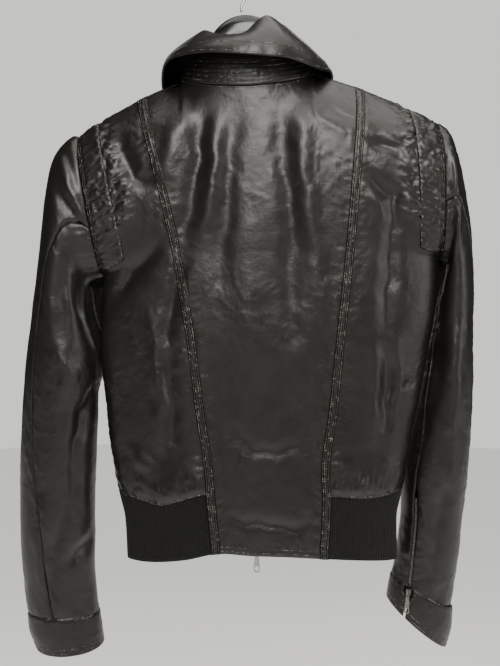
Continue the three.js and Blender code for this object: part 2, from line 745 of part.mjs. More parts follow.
// u is -1 and 2 at the seams under the straps, 0 and 1 at the straps' inner edges.
function backCentreGrid() {
  const [start, end] = NECK_ENDS;
  const edge = (side, level, u) =>
    strapPlace(side, level) + (u * (STRAP_WIDTH / 2)) / bodyWidth(level);
  const left = edge("left", 0, 1);
  const right = 1 - edge("right", 0, 1);
  const place = (across) => (across - left) / (right - left);
  const columns = [
    -1,
    0,
    ...even(place(start), place(end), 9),
    ...even(place(end), 1, 2).slice(1),
    2,
  ];
  const surface = (u, level) => {
    const from = edge("left", level, Math.min(u, 0) + 1);
    const to = 1 - edge("right", level, 1 - Math.max(u - 1, 0));
    return bodyPoint(-1, lerp(from, to, clamp01(u)), level);
  };
  return surfaceGrid(surface, columns, CENTRE_LEVELS, -1);
}

// u is 0 at the armhole or side seam, 1 at the armhole strip's inner edge, 2 at the strap's
// outer edge and 3 at the seam under it.
const SIDE_COLUMNS = [0, 0.08, 0.28, 0.6, 1, 1.25, 1.5, 1.75, 2, 3];

function backSideGrid(side) {
  const place = (u, level) => {
    const width = bodyWidth(level);
    const strip = lookup(ARMHOLE_STRIP, "level", level, side) / width;
    const seam = strapPlace(side, level);
    const stops = [0, strip, seam - STRAP_WIDTH / 2 / width, seam];
    const i = Math.min(Math.max(Math.floor(u), 0), 2);
    return lerp(stops[i], stops[i + 1], u - i);
  };
  const surface = (u, v) => {
    const ribPlace = place(u, STRAP_RIB_LEVEL) / strapPlace(side, STRAP_RIB_LEVEL);
    const level = v * ribTop(side, ribPlace);
    return bodyPoint(-1, fromLeft(side, place(u, level)), level);
  };
  return surfaceGrid(surface, SIDE_COLUMNS, PANEL_ROWS, side === "left" ? -1 : 1);
}

// A front panel ends at the zip's tape. u is 0 at the side seam and 1 at the tape.
function frontPlace(level, inset) {
  return 0.5 - inset / bodyWidth(level);
}

function frontPanel(side) {
  const neck = NECK_ENDS[0] / frontPlace(0, FRONT_GAP + ZIP_TAPE);
  const neckEnd = side === "left" ? neck : (1 - NECK_ENDS[1]) / frontPlace(0, FRONT_GAP + ZIP_TAPE);
  const columns = [
    ...even(0, 1, 5).map((f) => neckEnd * (1 - Math.cos((f * Math.PI) / 2))),
    ...even(neckEnd, 1, 6).slice(1),
  ];
  const surface = (u, v) => {
    const level = v * ribTop(side, 2 * u * frontPlace(v, FRONT_GAP + ZIP_TAPE));
    return bodyPoint(1, fromLeft(side, u * frontPlace(level, FRONT_GAP + ZIP_TAPE)), level);
  };
  const grid = surfaceGrid(surface, columns, PANEL_ROWS, side === "left" ? 1 : -1);
  return wallOn(grid, { wall: LEATHER });
}

// ---------------------------------------------------------------- straps, strips, ribs
// A strap lies on the edges of two panels, over the seam between them.
function strap(side) {
  const surface = (u, level) => {
    const place = strapPlace(side, level) + (u * STRAP_WIDTH) / 2 / bodyWidth(level);
    return bodyPoint(-1, fromLeft(side, place), level);
  };
  const flip = side === "left" ? -1 : 1;
  const grid = surfaceGrid(surface, [-1, 0, 1], CENTRE_LEVELS.slice(1), flip);
  return wallOn(grid, {
    wall: STRAP_WALL,
    lift: LEATHER / 2 + LAID_ON + STRAP_WALL / 2,
    gap: 0.1,
  });
}

// The strip along the armhole is drawn up into puckers by its stitching.
function armholeStrip(side) {
  const cuts = 3;
  const grid = partOfGrid(backSideGrid(side), [1, 4], STRIP_ROWS, cuts);
  const pucker = (column, row) => {
    const along = row / (grid.rows - 1);
    const turns = STRIP_PUCKERS * (along + 0.03 * Math.sin(9 * along));
    return PUCKER_RISE * Math.sin(Math.PI * turns) ** 2 * Math.sin((Math.PI * column) / 3);
  };
  return wallOn(grid, {
    wall: STRIP_WALL,
    lift: LEATHER / 2 + LAID_ON * 1.5 + STRIP_WALL / 2,
    rise: pucker,
    gap: 0.6,
  });
}

// The rib runs from the strap round the side to the front zip. u is 0 at the strap, 1 at the
// side seam and 2 at the zip's tape.
function ribSurface(side) {
  return (u, v) => {
    const low = lerp(STRAP_RIB_LEVEL, 1, v);
    const front = u > 1;
    const end = front ? frontPlace(low, FRONT_GAP + ZIP_TAPE + 0.6) : strapPlace(side, low);
    const place = Math.abs(u - 1) * end;
    const level = lerp(ribTop(side, front ? 2 * place : place / end), 1, v);
    const point = bodyPoint(front ? 1 : -1, fromLeft(side, place), level);
    point.y -= (front ? 1 : -1) * RIB_DRAWN_IN * smoothstep(0, 0.03, place);
    return point;
  };
}

// Places u, from 0 to 2, at even distances along a surface's middle line.
function evenAlong(surface, steps) {
  const samples = 1200;
  const length = [0];
  let last = surface(0, 0.5);
  for (let i = 1; i <= samples; i++) {
    const next = surface((2 * i) / samples, 0.5);
    length.push(length[i - 1] + next.distanceTo(last));
    last = next;
  }
  const total = length[samples];
  let i = 0;
  const places = even(0, total, steps).map((at) => {
    while (i < samples - 1 && length[i + 1] < at) i++;
    return (2 * (i + (at - length[i]) / (length[i + 1] - length[i]))) / samples;
  });
  return { places, total };
}

function ribHem(side) {
  const surface = ribSurface(side);
  const count = Math.round(evenAlong(surface, 1).total / RIB_PITCH);
  const { places } = evenAlong(surface, count * 2);
  const grid = surfaceGrid(surface, places, [0, 1], side === "left" ? 1 : -1);
  return wallOn(grid, {
    wall: RIB_WALL,
    rise: (column) => (column % 2 === 1 ? RIB_RISE : 0),
    gap: 0.9,
  });
}

// ---------------------------------------------------------------- collar
const STAND_RAISED = [1.2, 3.8]; // the stand's lower edge above the neckline, back and front
const STAND_SHORT = 5.2; // from the stand's upper edge to the fold's middle

function collarPoints(angle) {
  const value = (column) => lookup(COLLAR, "angle", angle, column);
  const neck = neckPoint(angle);
  neck.z += lerp(...STAND_RAISED, (1 - Math.cos(radians(angle))) / 2);
  return {
    neck,
    fold: new THREE.Vector3(value("foldX"), value("foldY"), value("foldZ")),
    edge: new THREE.Vector3(value("edgeX"), value("edgeY"), value("edgeZ")),
  };
}

function standSurface(angle, v) {
  const { neck, fold } = collarPoints(angle);
  const point = neck.lerp(fold, v * (1 - STAND_SHORT / neck.distanceTo(fold)));
  const out = 1.2 * Math.sin(Math.PI * v) - 3 * v * v;
  point.x += out * Math.sin(radians(angle));
  point.y -= out * Math.cos(radians(angle));
  return point;
}

// From the fold, over the roll and down to the edge of the fall.
function fallSurface(angle, v) {
  const { fold, edge } = collarPoints(angle);
  const drop = lookup(COLLAR, "angle", angle, "drop");
  const roll = new THREE.Vector3(edge.x, edge.y, lerp(fold.z, edge.z, drop));
  const first = fold.clone().lerp(roll, v);
  const second = roll.lerp(edge, v);
  return first.lerp(second, v);
}

function collarStand() {
  const grid = surfaceGrid(standSurface, even(-166, 166, 26), even(0, 1, 2), 1);
  return wallOn(grid, { wall: COLLAR_WALL, gap: 0 });
}

function collarFall() {
  const grid = surfaceGrid(fallSurface, even(-170, 170, 26), even(0, 1, 5), 1);
  return wallOn(grid, { wall: COLLAR_WALL, gap: 0 });
}

// ---------------------------------------------------------------- sleeves and cuffs
const SLEEVE_ROWS = [0, 0.5, 1, 1.7, 2.5, 3.4, 4.5, 5.7, 7, 8, 9, 10, 10.4, 11, 12, 13, 14];
const SLEEVE_GAP = 0.6; // at the two lengthways seams, which twist

// Distance kept from the inner seam's middle, wider where the cuff's zip lies between.
function innerSeamShift(side, row) {
  const opening = CUFF_ZIP_HALF * smoothstep(CUFF_ZIP_TOP - 0.4, CUFF_ZIP_TOP, row);
  const radius = lookup(SLEEVES[side], "row", row, "halfDepth");
  return ((opening / radius) * 180) / Math.PI;
}

function sleeveSeams(side, row) {
  const back = lookup(SLEEVE_SEAMS[side], "row", row, "back");
  const inner = lookup(SLEEVE_SEAMS[side], "row", row, "inner");
  return { back, inner, shift: innerSeamShift(side, row) };
}

function underSleeve(side) {
  const surface = (u, row) => {
    const { back, inner, shift } = sleeveSeams(side, row);
    return sleevePoint(side, lerp(back, inner - shift, u), row);
  };
  const grid = surfaceGrid(surface, even(0, 1, 8), SLEEVE_ROWS, side === "left" ? 1 : -1);
  return wallOn(grid, { wall: LEATHER, gap: SLEEVE_GAP });
}

function topSleeve(side) {
  const surface = (u, row) => {
    const { back, inner, shift } = sleeveSeams(side, row);
    return sleevePoint(side, lerp(inner + shift, back + 360, u), row);
  };
  const grid = surfaceGrid(surface, even(0, 1, 14), SLEEVE_ROWS, side === "left" ? 1 : -1);
  return wallOn(grid, { wall: LEATHER, gap: SLEEVE_GAP });
}

const CUFF_SLIT = 9; // degrees left open at the zip's lower end, to each side
const CUFF_DROOP = 4; // how much lower than its middle a cuff's end hangs at the back

function cuff(side) {
  const inner = lookup(SLEEVE_SEAMS[side], "row", 14, "inner");
  const surface = (angle, row) => {
    const point = ringPoint(CUFFS[side], null, null, angle, row);
    point.z -= ((CUFF_DROOP * row) / 2) * Math.sin(radians(angle));
    return point;
  };
  const columns = even(inner + CUFF_SLIT, inner + 360 - CUFF_SLIT, 22);
  const grid = surfaceGrid(surface, columns, [0, 0.5, 1, 1.5, 2], side === "left" ? 1 : -1);
  return wallOn(grid, { wall: COLLAR_WALL, gap: 0 });
}

// ---------------------------------------------------------------- zips
function cuffZip(side) {
  const clear = SEAM_GAP * 1.6;
  const surface = (u, row) => {
    const { inner, shift } = sleeveSeams(side, row);
    const radius = lookup(SLEEVES[side], "row", row, "halfDepth");
    const half = Math.max(shift - ((clear / radius) * 180) / Math.PI, 0.2);
    return sleevePoint(side, lerp(inner - half, inner + half, u), row);
  };
  const rows = [...even(CUFF_ZIP_TOP + 0.1, 11, 1), ...even(11, 14, 6).slice(1)];
  const grid = surfaceGrid(surface, even(0, 1, 3), rows, side === "left" ? 1 : -1);
  return wallOn(grid, { wall: ZIP_WALL, lift: 0.3, gap: 0 });
}

// One half of the front zip: tape and the bead of teeth at its edge. u is 0 at the leather.
const ZIP_LEVELS = even(0.004, ZIP_END_LEVEL, 18);

function frontZip(side) {
  const surface = (u, level) => {
    const inset = lerp(FRONT_GAP + ZIP_TAPE - SEAM_GAP, FRONT_GAP, u);
    return bodyPoint(1, fromLeft(side, frontPlace(level, inset)), level);
  };
  const grid = surfaceGrid(surface, [0, 0.5, 0.6, 1], ZIP_LEVELS, side === "left" ? 1 : -1);
  return wallOn(grid, {
    wall: ZIP_WALL,
    rise: (column) => (column > 1 ? ZIP_BEAD : 0),
    gap: 0,
  });
}

// One solid from overlapping closed shapes.
function joined(geometries) {
  const solids = geometries.map((geometry) => {
    const bare = geometry.clone();
    bare.deleteAttribute("normal");
    bare.deleteAttribute("uv");
    const merged = mergeVertices(bare, 1e-4);
    const mesh = new wasm.Mesh({
      numProp: 3,
      vertProperties: merged.attributes.position.array,
      triVerts: new Uint32Array(merged.index.array),
    });
    return new wasm.Manifold(mesh);
  });
  const mesh = solids.reduce((a, b) => a.add(b)).getMesh();
  const geometry = new THREE.BufferGeometry();
  geometry.setAttribute("position", new THREE.BufferAttribute(mesh.vertProperties, 3));
  geometry.setIndex(new THREE.BufferAttribute(mesh.triVerts, 1));
  return geometry;
}

// A zip's slider: a plate with a bridge on it, under which the pull's bar turns. The pivot is
// at the origin and +Y points off the cloth.
function sliderGeometry(scale) {
  const { width, height, thick, bridgeReach, bridgeRise, bridgeWidth, bar } = SLIDER;
  const face = -PULL_PIVOT_RISE;
  const top = face + bridgeRise + bar;
  const inside = bridgeReach - bar;
  const hoop = new THREE.Shape();
  hoop.moveTo(face - thick / 2, -bridgeReach);
  hoop.lineTo(top - bar, -bridgeReach);
  hoop.quadraticCurveTo(top, -bridgeReach, top, -bridgeReach + bar);
  hoop.lineTo(top, bridgeReach - bar);
  hoop.quadraticCurveTo(top, bridgeReach, top - bar, bridgeReach);
  hoop.lineTo(face - thick / 2, bridgeReach);
  hoop.lineTo(face - thick / 2, inside);
  hoop.lineTo(face + bridgeRise, inside);
  hoop.lineTo(face + bridgeRise, -inside);
  hoop.lineTo(face - thick / 2, -inside);
  hoop.closePath();
  const settings = { depth: bridgeWidth, bevelEnabled: false, curveSegments: 3 };
  const bridge = new THREE.ExtrudeGeometry(hoop, settings);
  // Outline X becomes Y, outline Y becomes Z and the depth runs along X.
  const turn = new THREE.Matrix4().makeBasis(
    new THREE.Vector3(0, 1, 0),
    new THREE.Vector3(0, 0, 1),
    new THREE.Vector3(1, 0, 0),
  );
  bridge.applyMatrix4(turn);
  bridge.translate(-bridgeWidth / 2, 0, 0);
  const shield = new THREE.Shape();
  shield.moveTo(-width / 2, height * 0.5);
  shield.lineTo(width / 2, height * 0.5);
  shield.lineTo(width / 2, 0);
  shield.lineTo(width * 0.34, -height * 0.5);
  shield.lineTo(-width * 0.34, -height * 0.5);
  shield.lineTo(-width / 2, 0);
  shield.closePath();
  const plate = new THREE.ExtrudeGeometry(shield, { depth: thick, bevelEnabled: false });
  plate.rotateX(Math.PI / 2);
  plate.translate(0, face, 0);
  return joined([plate, bridge]).scale(scale, scale, scale);
}

// The pull: a tapering tab with a window for the bridge at the top and an eye at the end.
function pullGeometry(scale) {
  const { length, thick, neck, end, eyeRadius, pivotBar } = PULL;
  const tab = new THREE.Shape();
  const endRadius = end / 2;
  tab.moveTo(-neck / 2, pivotBar / 2);
  tab.lineTo(-neck / 2, -8);
  tab.lineTo(-endRadius, -length + endRadius);
  tab.absarc(0, -length + endRadius, endRadius, Math.PI, 2 * Math.PI, false);
  tab.lineTo(neck / 2, -8);
  tab.lineTo(neck / 2, pivotBar / 2);
  tab.closePath();
  const eye = new THREE.Path();
  eye.absellipse(0, -length + endRadius + 0.6, eyeRadius, eyeRadius * 1.25, 0, 2 * Math.PI, true);
  tab.holes.push(eye);
  const slot = new THREE.Path();
  slot.moveTo(-1.6, -pivotBar / 2);
  slot.lineTo(-1.6, -6.2);
  slot.lineTo(1.6, -6.2);
  slot.lineTo(1.6, -pivotBar / 2);
  slot.closePath();
  tab.holes.push(slot);
  const solid = new THREE.ExtrudeGeometry(tab, {
    depth: thick,
    bevelEnabled: false,
    curveSegments: 8,
  });
  solid.rotateX(Math.PI / 2);
  solid.translate(0, thick / 2, 0);
  return solid.scale(scale, scale, scale);
}

// A slider and its pull, turned about Z by yaw degrees and then leaning back by tilt degrees.
function zipSlider(prefix, place, yaw, tilt, scale) {
  const group = new THREE.Group();
  group.position.set(place.x, place.y, place.z);
  group.rotation.set(radians(tilt), 0, radians(yaw), "ZXY");
  const finish = () => material(COLOURS.metal, 0.34, 0.9);
  group.add(named(prefix + "_slider", sliderGeometry(scale), finish()));
  group.add(named(prefix + "_pull", pullGeometry(scale), finish()));
  return group;
}

// ---------------------------------------------------------------- hanger
function hangerBody() {
  const sides = 10;
  const rings = [];
  for (const row of HANGER) {
    const ring = even(0, 2 * Math.PI, sides)
      .slice(0, -1)
      .map((turn) => {
        const y = row.halfWidth * Math.sin(turn);
        const z = row.top - row.height / 2 + (row.height / 2) * Math.cos(turn);
        return new THREE.Vector3(row.x, y, z);
      });
    rings.push(ring);
  }
  return loftGeometry(rings);
}

function hangerHook() {
  const { wire, curlRadius, stem } = HOOK;
  const bottom = lookup(HANGER, "x", 0, "top") + SEAM_GAP;
  const middleRadius = curlRadius + wire / 2;
  const points = [new THREE.Vector3(0, 0, bottom), new THREE.Vector3(0, 0, bottom + stem)];
  for (const turn of even(-40, 190, 12)) {
    points.push(
      new THREE.Vector3(
        middleRadius * Math.cos(radians(turn)),
        0,
        -curlRadius + middleRadius * Math.sin(radians(turn)),
      ),
    );
  }
  const route = new THREE.CatmullRomCurve3(points, false, "centripetal");
  const section = new THREE.Shape();
  section.absarc(0, 0, wire / 2, 0, 2 * Math.PI, false);
  return new THREE.ExtrudeGeometry(section, {
    steps: 22,
    curveSegments: 4,
    extrudePath: route,
    bevelEnabled: false,
  });
}

// ---------------------------------------------------------------- the whole jacket
const SIDES = ["left", "right"];

function jacket() {
  const group = new THREE.Group();
  const leather = (name, geometry) => {
    group.add(named(name, geometry, material(COLOURS.leather, 0.38)));
  };
  leather("back_centre", wallOn(backCentreGrid(), { wall: LEATHER }));
  leather("collar_stand", collarStand());
  leather("collar_fall", collarFall());
  for (const side of SIDES) {
    leather("back_side_" + side, wallOn(backSideGrid(side), { wall: LEATHER }));
    leather("back_strap_" + side, strap(side));
    leather("armhole_strip_" + side, armholeStrip(side));
    leather("front_" + side, frontPanel(side));
    leather("top_sleeve_" + side, topSleeve(side));
    leather("under_sleeve_" + side, underSleeve(side));
    leather("cuff_" + side, cuff(side));
    group.add(named("rib_hem_" + side, ribHem(side), material(COLOURS.rib, 0.9)));
    group.add(named("cuff_zip_" + side, cuffZip(side), material(COLOURS.metal, 0.4, 0.8)));
    group.add(named("front_zip_" + side, frontZip(side), material(COLOURS.metal, 0.4, 0.8)));
    group.add(cuffSlider(side));
  }
  group.add(frontSlider());
  return group;
}

// The open front's slider has stopped at the lower end of the left side's teeth.
function frontSlider() {
  const place = frontPlace(ZIP_END_LEVEL, FRONT_GAP + 0.5);
  const pivot = bodyPoint(1, place, ZIP_END_LEVEL);
  pivot.y += FRONT_PIVOT_RISE;
  pivot.z -= SLIDER.height / 2 + SEAM_GAP;
  return zipSlider("front", pivot, 0, 0, 1);
}

// A closed cuff's slider sits below its teeth, in the cuff's slit.
function cuffSlider(side) {
  const angle = lookup(SLEEVE_SEAMS[side], "row", 14, "inner");
  const pivot = sleevePoint(side, angle, 14);
  const middle = sleevePoint(side, 0, 14).lerp(sleevePoint(side, 180, 14), 0.5);
  const out = pivot.clone().sub(middle).setZ(0).normalize();
  pivot.addScaledVector(out, CUFF_PIVOT_RISE);
  pivot.z -= (SLIDER.height / 2) * CUFF_SLIDER_SCALE + CUFF_SLIDER_DROP[side];
  const yaw = (Math.atan2(out.y, out.x) * 180) / Math.PI - 90;
  return zipSlider("cuff_" + side, pivot, yaw, CUFF_SLIDER_TILT[side], CUFF_SLIDER_SCALE);
}

function hanger() {
  const group = new THREE.Group();
  group.add(named("hanger_body", hangerBody(), material(COLOURS.hanger, 0.15)));
  group.add(named("hanger_hook", hangerHook(), material(COLOURS.metal, 0.25, 1)));
  return group;
}

const model = new THREE.Group();
model.add(jacket(), hanger());

export default model;
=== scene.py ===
"""A short fitted leather jacket on a moulded coat hanger: sewn pieces, zips, stitches and stage.

Sizes are millimetres until a mesh is made. X runs across the back with the left sleeve at -X,
the back faces -Y and +Z is up, as in the frame.
"""

import math
from dataclasses import dataclass
from functools import partial

import bmesh
import bpy
import numpy as np
from mathutils import Matrix, Vector, noise


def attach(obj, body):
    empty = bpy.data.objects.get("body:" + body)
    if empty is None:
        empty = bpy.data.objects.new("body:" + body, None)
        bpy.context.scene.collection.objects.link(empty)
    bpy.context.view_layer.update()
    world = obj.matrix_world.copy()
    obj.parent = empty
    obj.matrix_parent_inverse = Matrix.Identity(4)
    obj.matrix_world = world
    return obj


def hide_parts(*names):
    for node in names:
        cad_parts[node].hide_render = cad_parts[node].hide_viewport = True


bl_info = {
    "name": "Leather jacket on a hanger",
    "version": (1, 0, 0),
    "blender": (4, 5, 0),
    "location": "3D View > Sidebar > Jacket",
    "description": "Sews a short leather jacket around its solids and hangs it on a hanger",
    "category": "Add Mesh",
}

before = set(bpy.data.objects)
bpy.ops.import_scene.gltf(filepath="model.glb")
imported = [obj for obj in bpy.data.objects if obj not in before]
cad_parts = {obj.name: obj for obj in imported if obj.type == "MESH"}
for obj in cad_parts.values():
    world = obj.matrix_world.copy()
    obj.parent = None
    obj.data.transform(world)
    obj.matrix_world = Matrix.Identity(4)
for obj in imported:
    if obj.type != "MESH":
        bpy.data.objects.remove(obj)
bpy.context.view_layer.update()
MM = 0.001
BODY = "jacket"
SIDES = ("left", "right")

# ---------------------------------------------------------------- driving dimensions
LEATHER = 1.5  # wall of a single layer
COLLAR_WALL = 2.6  # two layers and an interlining
RIB_WALL = 1.6
RIB_DRAWN_IN = 1.6  # how far the ribs draw the cloth in
BLOUSE = 3.5  # how far the leather bulges just above the ribs
STRAP_WIDTH = 11
HALF_STRAP = STRAP_WIDTH / 2
STRAP_WALL = 1.3
LAID_ON = 0.3  # between a panel and a strip sewn on it
ON_PANEL = LEATHER / 2 + LAID_ON + STRAP_WALL / 2  # from a panel's middle to such a strip's
ABOVE_LEATHER = 0.1  # how high the stitches' middles lie over the leather
GROOVE_HALF = 1.5  # half the width of the line that stitches press into leather
STAND_ROWS = (3.5, 9.5, 15.5, 21.5, 27.5)  # rows of stitches below the stand's upper edge
STAND_SHORT = 5.2  # from the stand's upper edge to the fall's middle
ROLL_RADIUS = 5.4  # of the collar's fall over the stand
SHOULDER_LIFT = 6  # rise of the shoulder line between the neck and the sleeve
ARMHOLE_DEPTH = 42  # half the armhole's width, front to back
UNDERARM = 0.3  # level at which the armhole ends and the side seam starts
STRIP_END = 0.272  # level at which the strip along the armhole ends
STRAP_RIB_LEVEL = 0.855  # where the ribs start beside the straps
NECK_X, NECK_HALF_WIDTH, NECK_BACK, NECK_FRONT = 7, 84, 46, 52
FRONT_GAP = 6  # from the middle of the front to the teeth of one side
ZIP_TAPE = 7  # width of tape that shows beside the leather
TAPE_HIDDEN = 3  # width of tape under the leather
TAPE_UNDER = 1.2  # how far that hidden tape lies below the leather's middle
TAPE_WALL = 0.9
FRONT_TOOTH = (1.35, 3.2, 2.1)  # length along the zip, width and thickness
CUFF_TOOTH = (1.0, 2.9, 1.7)
CUFF_TOOTH_PITCH = 2.0
METAL_EDGE = 0.22  # rounding of the sliders' and pulls' edges
ZIP_END_LEVEL = 0.985
CUFF_ZIP_TOP = 10.4  # row of the sleeve where the cuff's zip starts
CUFF_ZIP_HALF = 2.0  # half the width of that zip between the leather's edges
CUFF_TAPE_HALF = 7  # half the width of its tape, most of it under the leather
CUFF_TAPE_SUNK = 1.6  # how far that tape lies below the leather's middle
CUFF_SLIT = 9  # degrees left open at the zip's lower end, to each side
CUFF_SLIT_END = 2.5
TUCKED_IN, TUCKED_UP = 1.6, 4  # how the cuff's upper edge slips inside the sleeve's end
CUFF_DROOP = 4  # how much lower than its middle a cuff's end hangs at the back
TOP_BLEND = 0.42  # level down to which the shoulder line's shape is felt
TENT_BLEND = 0.1  # level at which the cloth has left the shoulder line
BACK_CELL = 2.5  # size of a panel's mesh cells
FRONT_CELL = 3.4
SLEEVE_CELL = 3.0


def table(columns, rows):
    """The named columns of a short table, its rows in the order of the first column."""
    rows = sorted(rows, key=lambda row: row[0])
    return {name: np.array([r[i] for r in rows], float) for i, name in enumerate(columns.split())}


# The armhole's shoulder point and underarm point, seen from behind.
ARMHOLES = {
    "left": ((-208, -225), (-177, -402)),
    "right": ((250, -208), (253, -380)),
}

# Side seams below the armholes, and how far back and front stand off the seams' plane.
SIDE_SEAMS = table("level leftX leftZ rightX rightZ back front", [
    [0.3, -177, -402, 253, -380, 47, 50],
    [0.4, -179, -454, 250, -435, 47, 52],
    [0.5, -180, -505, 241, -490, 46, 52],
    [0.6, -174, -557, 230, -545, 44, 50],
    [0.7, -169, -608, 219, -599, 44, 50],
    [0.8, -160, -660, 209, -654, 46, 50],
    [0.85, -154, -686, 204, -681, 47, 50],
    [0.9, -148, -711, 198, -709, 47, 50],
    [1.0, -145, -763, 199, -764, 46, 49],
])

# Upper levels have no side seam: only their depth is given.
UPPER_DEPTH = table("level back front", [
    [0, 44, 40], [0.08, 48, 46], [0.16, 50, 50], [0.3, 47, 50],
])

# The hem's droop or lift against a straight line between the two side seams.
HEM_BACK = table("across rise", [
    [0, 0], [0.1, 1], [0.22, 6], [0.34, 15], [0.46, 13], [0.62, 11], [0.85, 5], [1, 0],
])

HEM_FRONT = table("across rise", [
    [0, 0], [0.3, -5], [0.5, -10], [0.7, -5], [1, 0],
])

# Where the knitted ribs start: place is 0 at the side seam and 1 at the strap.
RIB_TOP = table("place left right", [
    [0, 0.838, 0.842], [0.25, 0.853, 0.852], [0.45, 0.868, 0.857], [0.7, 0.861, 0.857],
    [0.85, 0.856, 0.855], [0.95, 0.855, 0.855], [1, 0.855, 0.855],
])

# The straps over the back's princess seams: X of the middle at each height.
STRAPS = table("z left right", [
    [-150, -136, 156], [-200, -124, 150], [-262, -104, 143], [-335, -84, 136], [-403, -71, 129],
    [-471, -61, 122], [-565, -50, 113], [-630, -41, 104], [-680, -37, 105], [-745, -31, 102],
])

# Width of the strip sewn along each armhole of the back.
ARMHOLE_STRIP = table("level left right", [
    [0, 26, 39], [0.05, 28, 37], [0.15, 31, 33], [0.24, 32, 31], [0.3, 31, 30], [0.6, 34, 32],
    [1, 34, 32],
])

# The collar, section by section round the neck: fold is the top of the stand, edge the outer
# edge of the fall, and drop how soon the fall turns down after the fold.
COLLAR = table("angle neckZ foldX foldY foldZ edgeX edgeY edgeZ drop", [
    [-170, -226, -16, 62, -196, -50, 70, -240, 0.05],
    [-150, -202, -31, 53, -154, -76, 67, -218, 0.05],
    [-120, -170, -47, 26, -106, -97, 36, -180, 0.1],
    [-90, -153, -50, 0, -92, -102, 2, -151, 0.4],
    [-60, -161, -45, -24, -98, -88, -38, -140, 0.8],
    [-30, -170, -27, -42, -110, -46, -68, -142, 0.5],
    [0, -173, 4, -49, -111, 6, -80, -148, 0.3],
    [18, -170, 22, -47, -94, 34, -76, -149, 0.4],
    [30, -167, 33, -44, -88, 56, -70, -149, 0.5],
    [60, -156, 49, -26, -90, 96, -40, -152, 0.7],
    [90, -143, 54, 0, -84, 117, 2, -145, 0.8],
    [120, -162, 51, 26, -98, 112, 36, -170, 0.2],
    [150, -198, 38, 53, -148, 90, 67, -210, 0.05],
    [170, -224, 28, 62, -193, 62, 70, -236, 0.05],
])

# Sleeves, ring by ring from the armhole to the wrist. outer is the side away from the body.
SLEEVE_COLUMNS = "row outerX outerZ innerX innerZ middleY halfDepth"

SLEEVES = {
    "left": table(SLEEVE_COLUMNS, [
        [0, -208, -225, -177, -402, 0, 42],
        [1, -219, -228, -187, -406, 1, 45],
        [2, -232, -240, -198, -413, 2, 47],
        [3, -243, -262, -202, -431, 3, 49],
        [4, -250, -300, -201, -456, 4, 50],
        [5, -257, -350, -195, -478, 5, 49],
        [6, -264, -410, -189, -500, 6, 48],
        [7, -271, -465, -187, -530, 6, 47],
        [8, -277, -520, -188, -565, 6, 45],
        [9, -282, -590, -189, -615, 7, 43],
        [10, -285, -660, -190, -668, 7, 41],
        [11, -285, -725, -191, -722, 7, 39],
        [12, -283, -775, -191, -775, 8, 37],
        [13, -279, -812, -189, -813, 8, 35],
        [14, -274, -837, -186, -839, 8, 34],
    ]),
    "right": table(SLEEVE_COLUMNS, [
        [0, 250, -208, 253, -380, 0, 42],
        [1, 263, -218, 263, -386, 1, 45],
        [2, 273, -238, 262, -398, 6, 48],
        [3, 281, -262, 259, -418, 10, 50],
        [4, 290, -299, 254, -442, 16, 52],
        [5, 297, -344, 249, -470, 20, 53],
        [6, 301, -399, 243, -497, 22, 52],
        [7, 301, -455, 238, -530, 22, 51],
        [8, 301, -512, 231, -566, 22, 49],
        [9, 300, -580, 222, -613, 20, 46],
        [10, 294, -656, 213, -663, 18, 43],
        [11, 288, -717, 210, -716, 21, 41],
        [12, 284, -761, 206, -754, 23, 39],
        [13, 279, -802, 202, -782, 24, 37],
        [14, 274, -837, 199, -795, 24, 36],
    ]),
}

CUFFS = {
    "left": table(SLEEVE_COLUMNS, [
        [0, -275, -837.5, -185, -839.5, 8, 35],
        [1, -273, -858, -182, -859, 8, 35.5],
        [2, -264, -879, -180, -877, 8, 35],
    ]),
    "right": table(SLEEVE_COLUMNS, [
        [0, 276, -838, 198, -796, 24, 37],
        [1, 274, -862, 195, -810, 24, 37],
        [2, 267, -885, 193, -825, 24, 36],
    ]),
}

# The two lengthways seams of each sleeve, as angles round its rings: 0 is the outer side,
# 90 the back, 180 the inner side and 270 the front.
SLEEVE_SEAMS = {
    "left": table("row back inner", [
        [0, 113, 190], [3, 92, 196], [6, 55, 204], [9, 56, 212], [11, 76, 220], [14, 84, 228],
    ]),
    "right": table("row back inner", [
        [0, 104, 176], [3, 74, 168], [6, 36, 156], [9, 20, 144], [11, 12, 134], [14, 8, 126],
    ]),
}

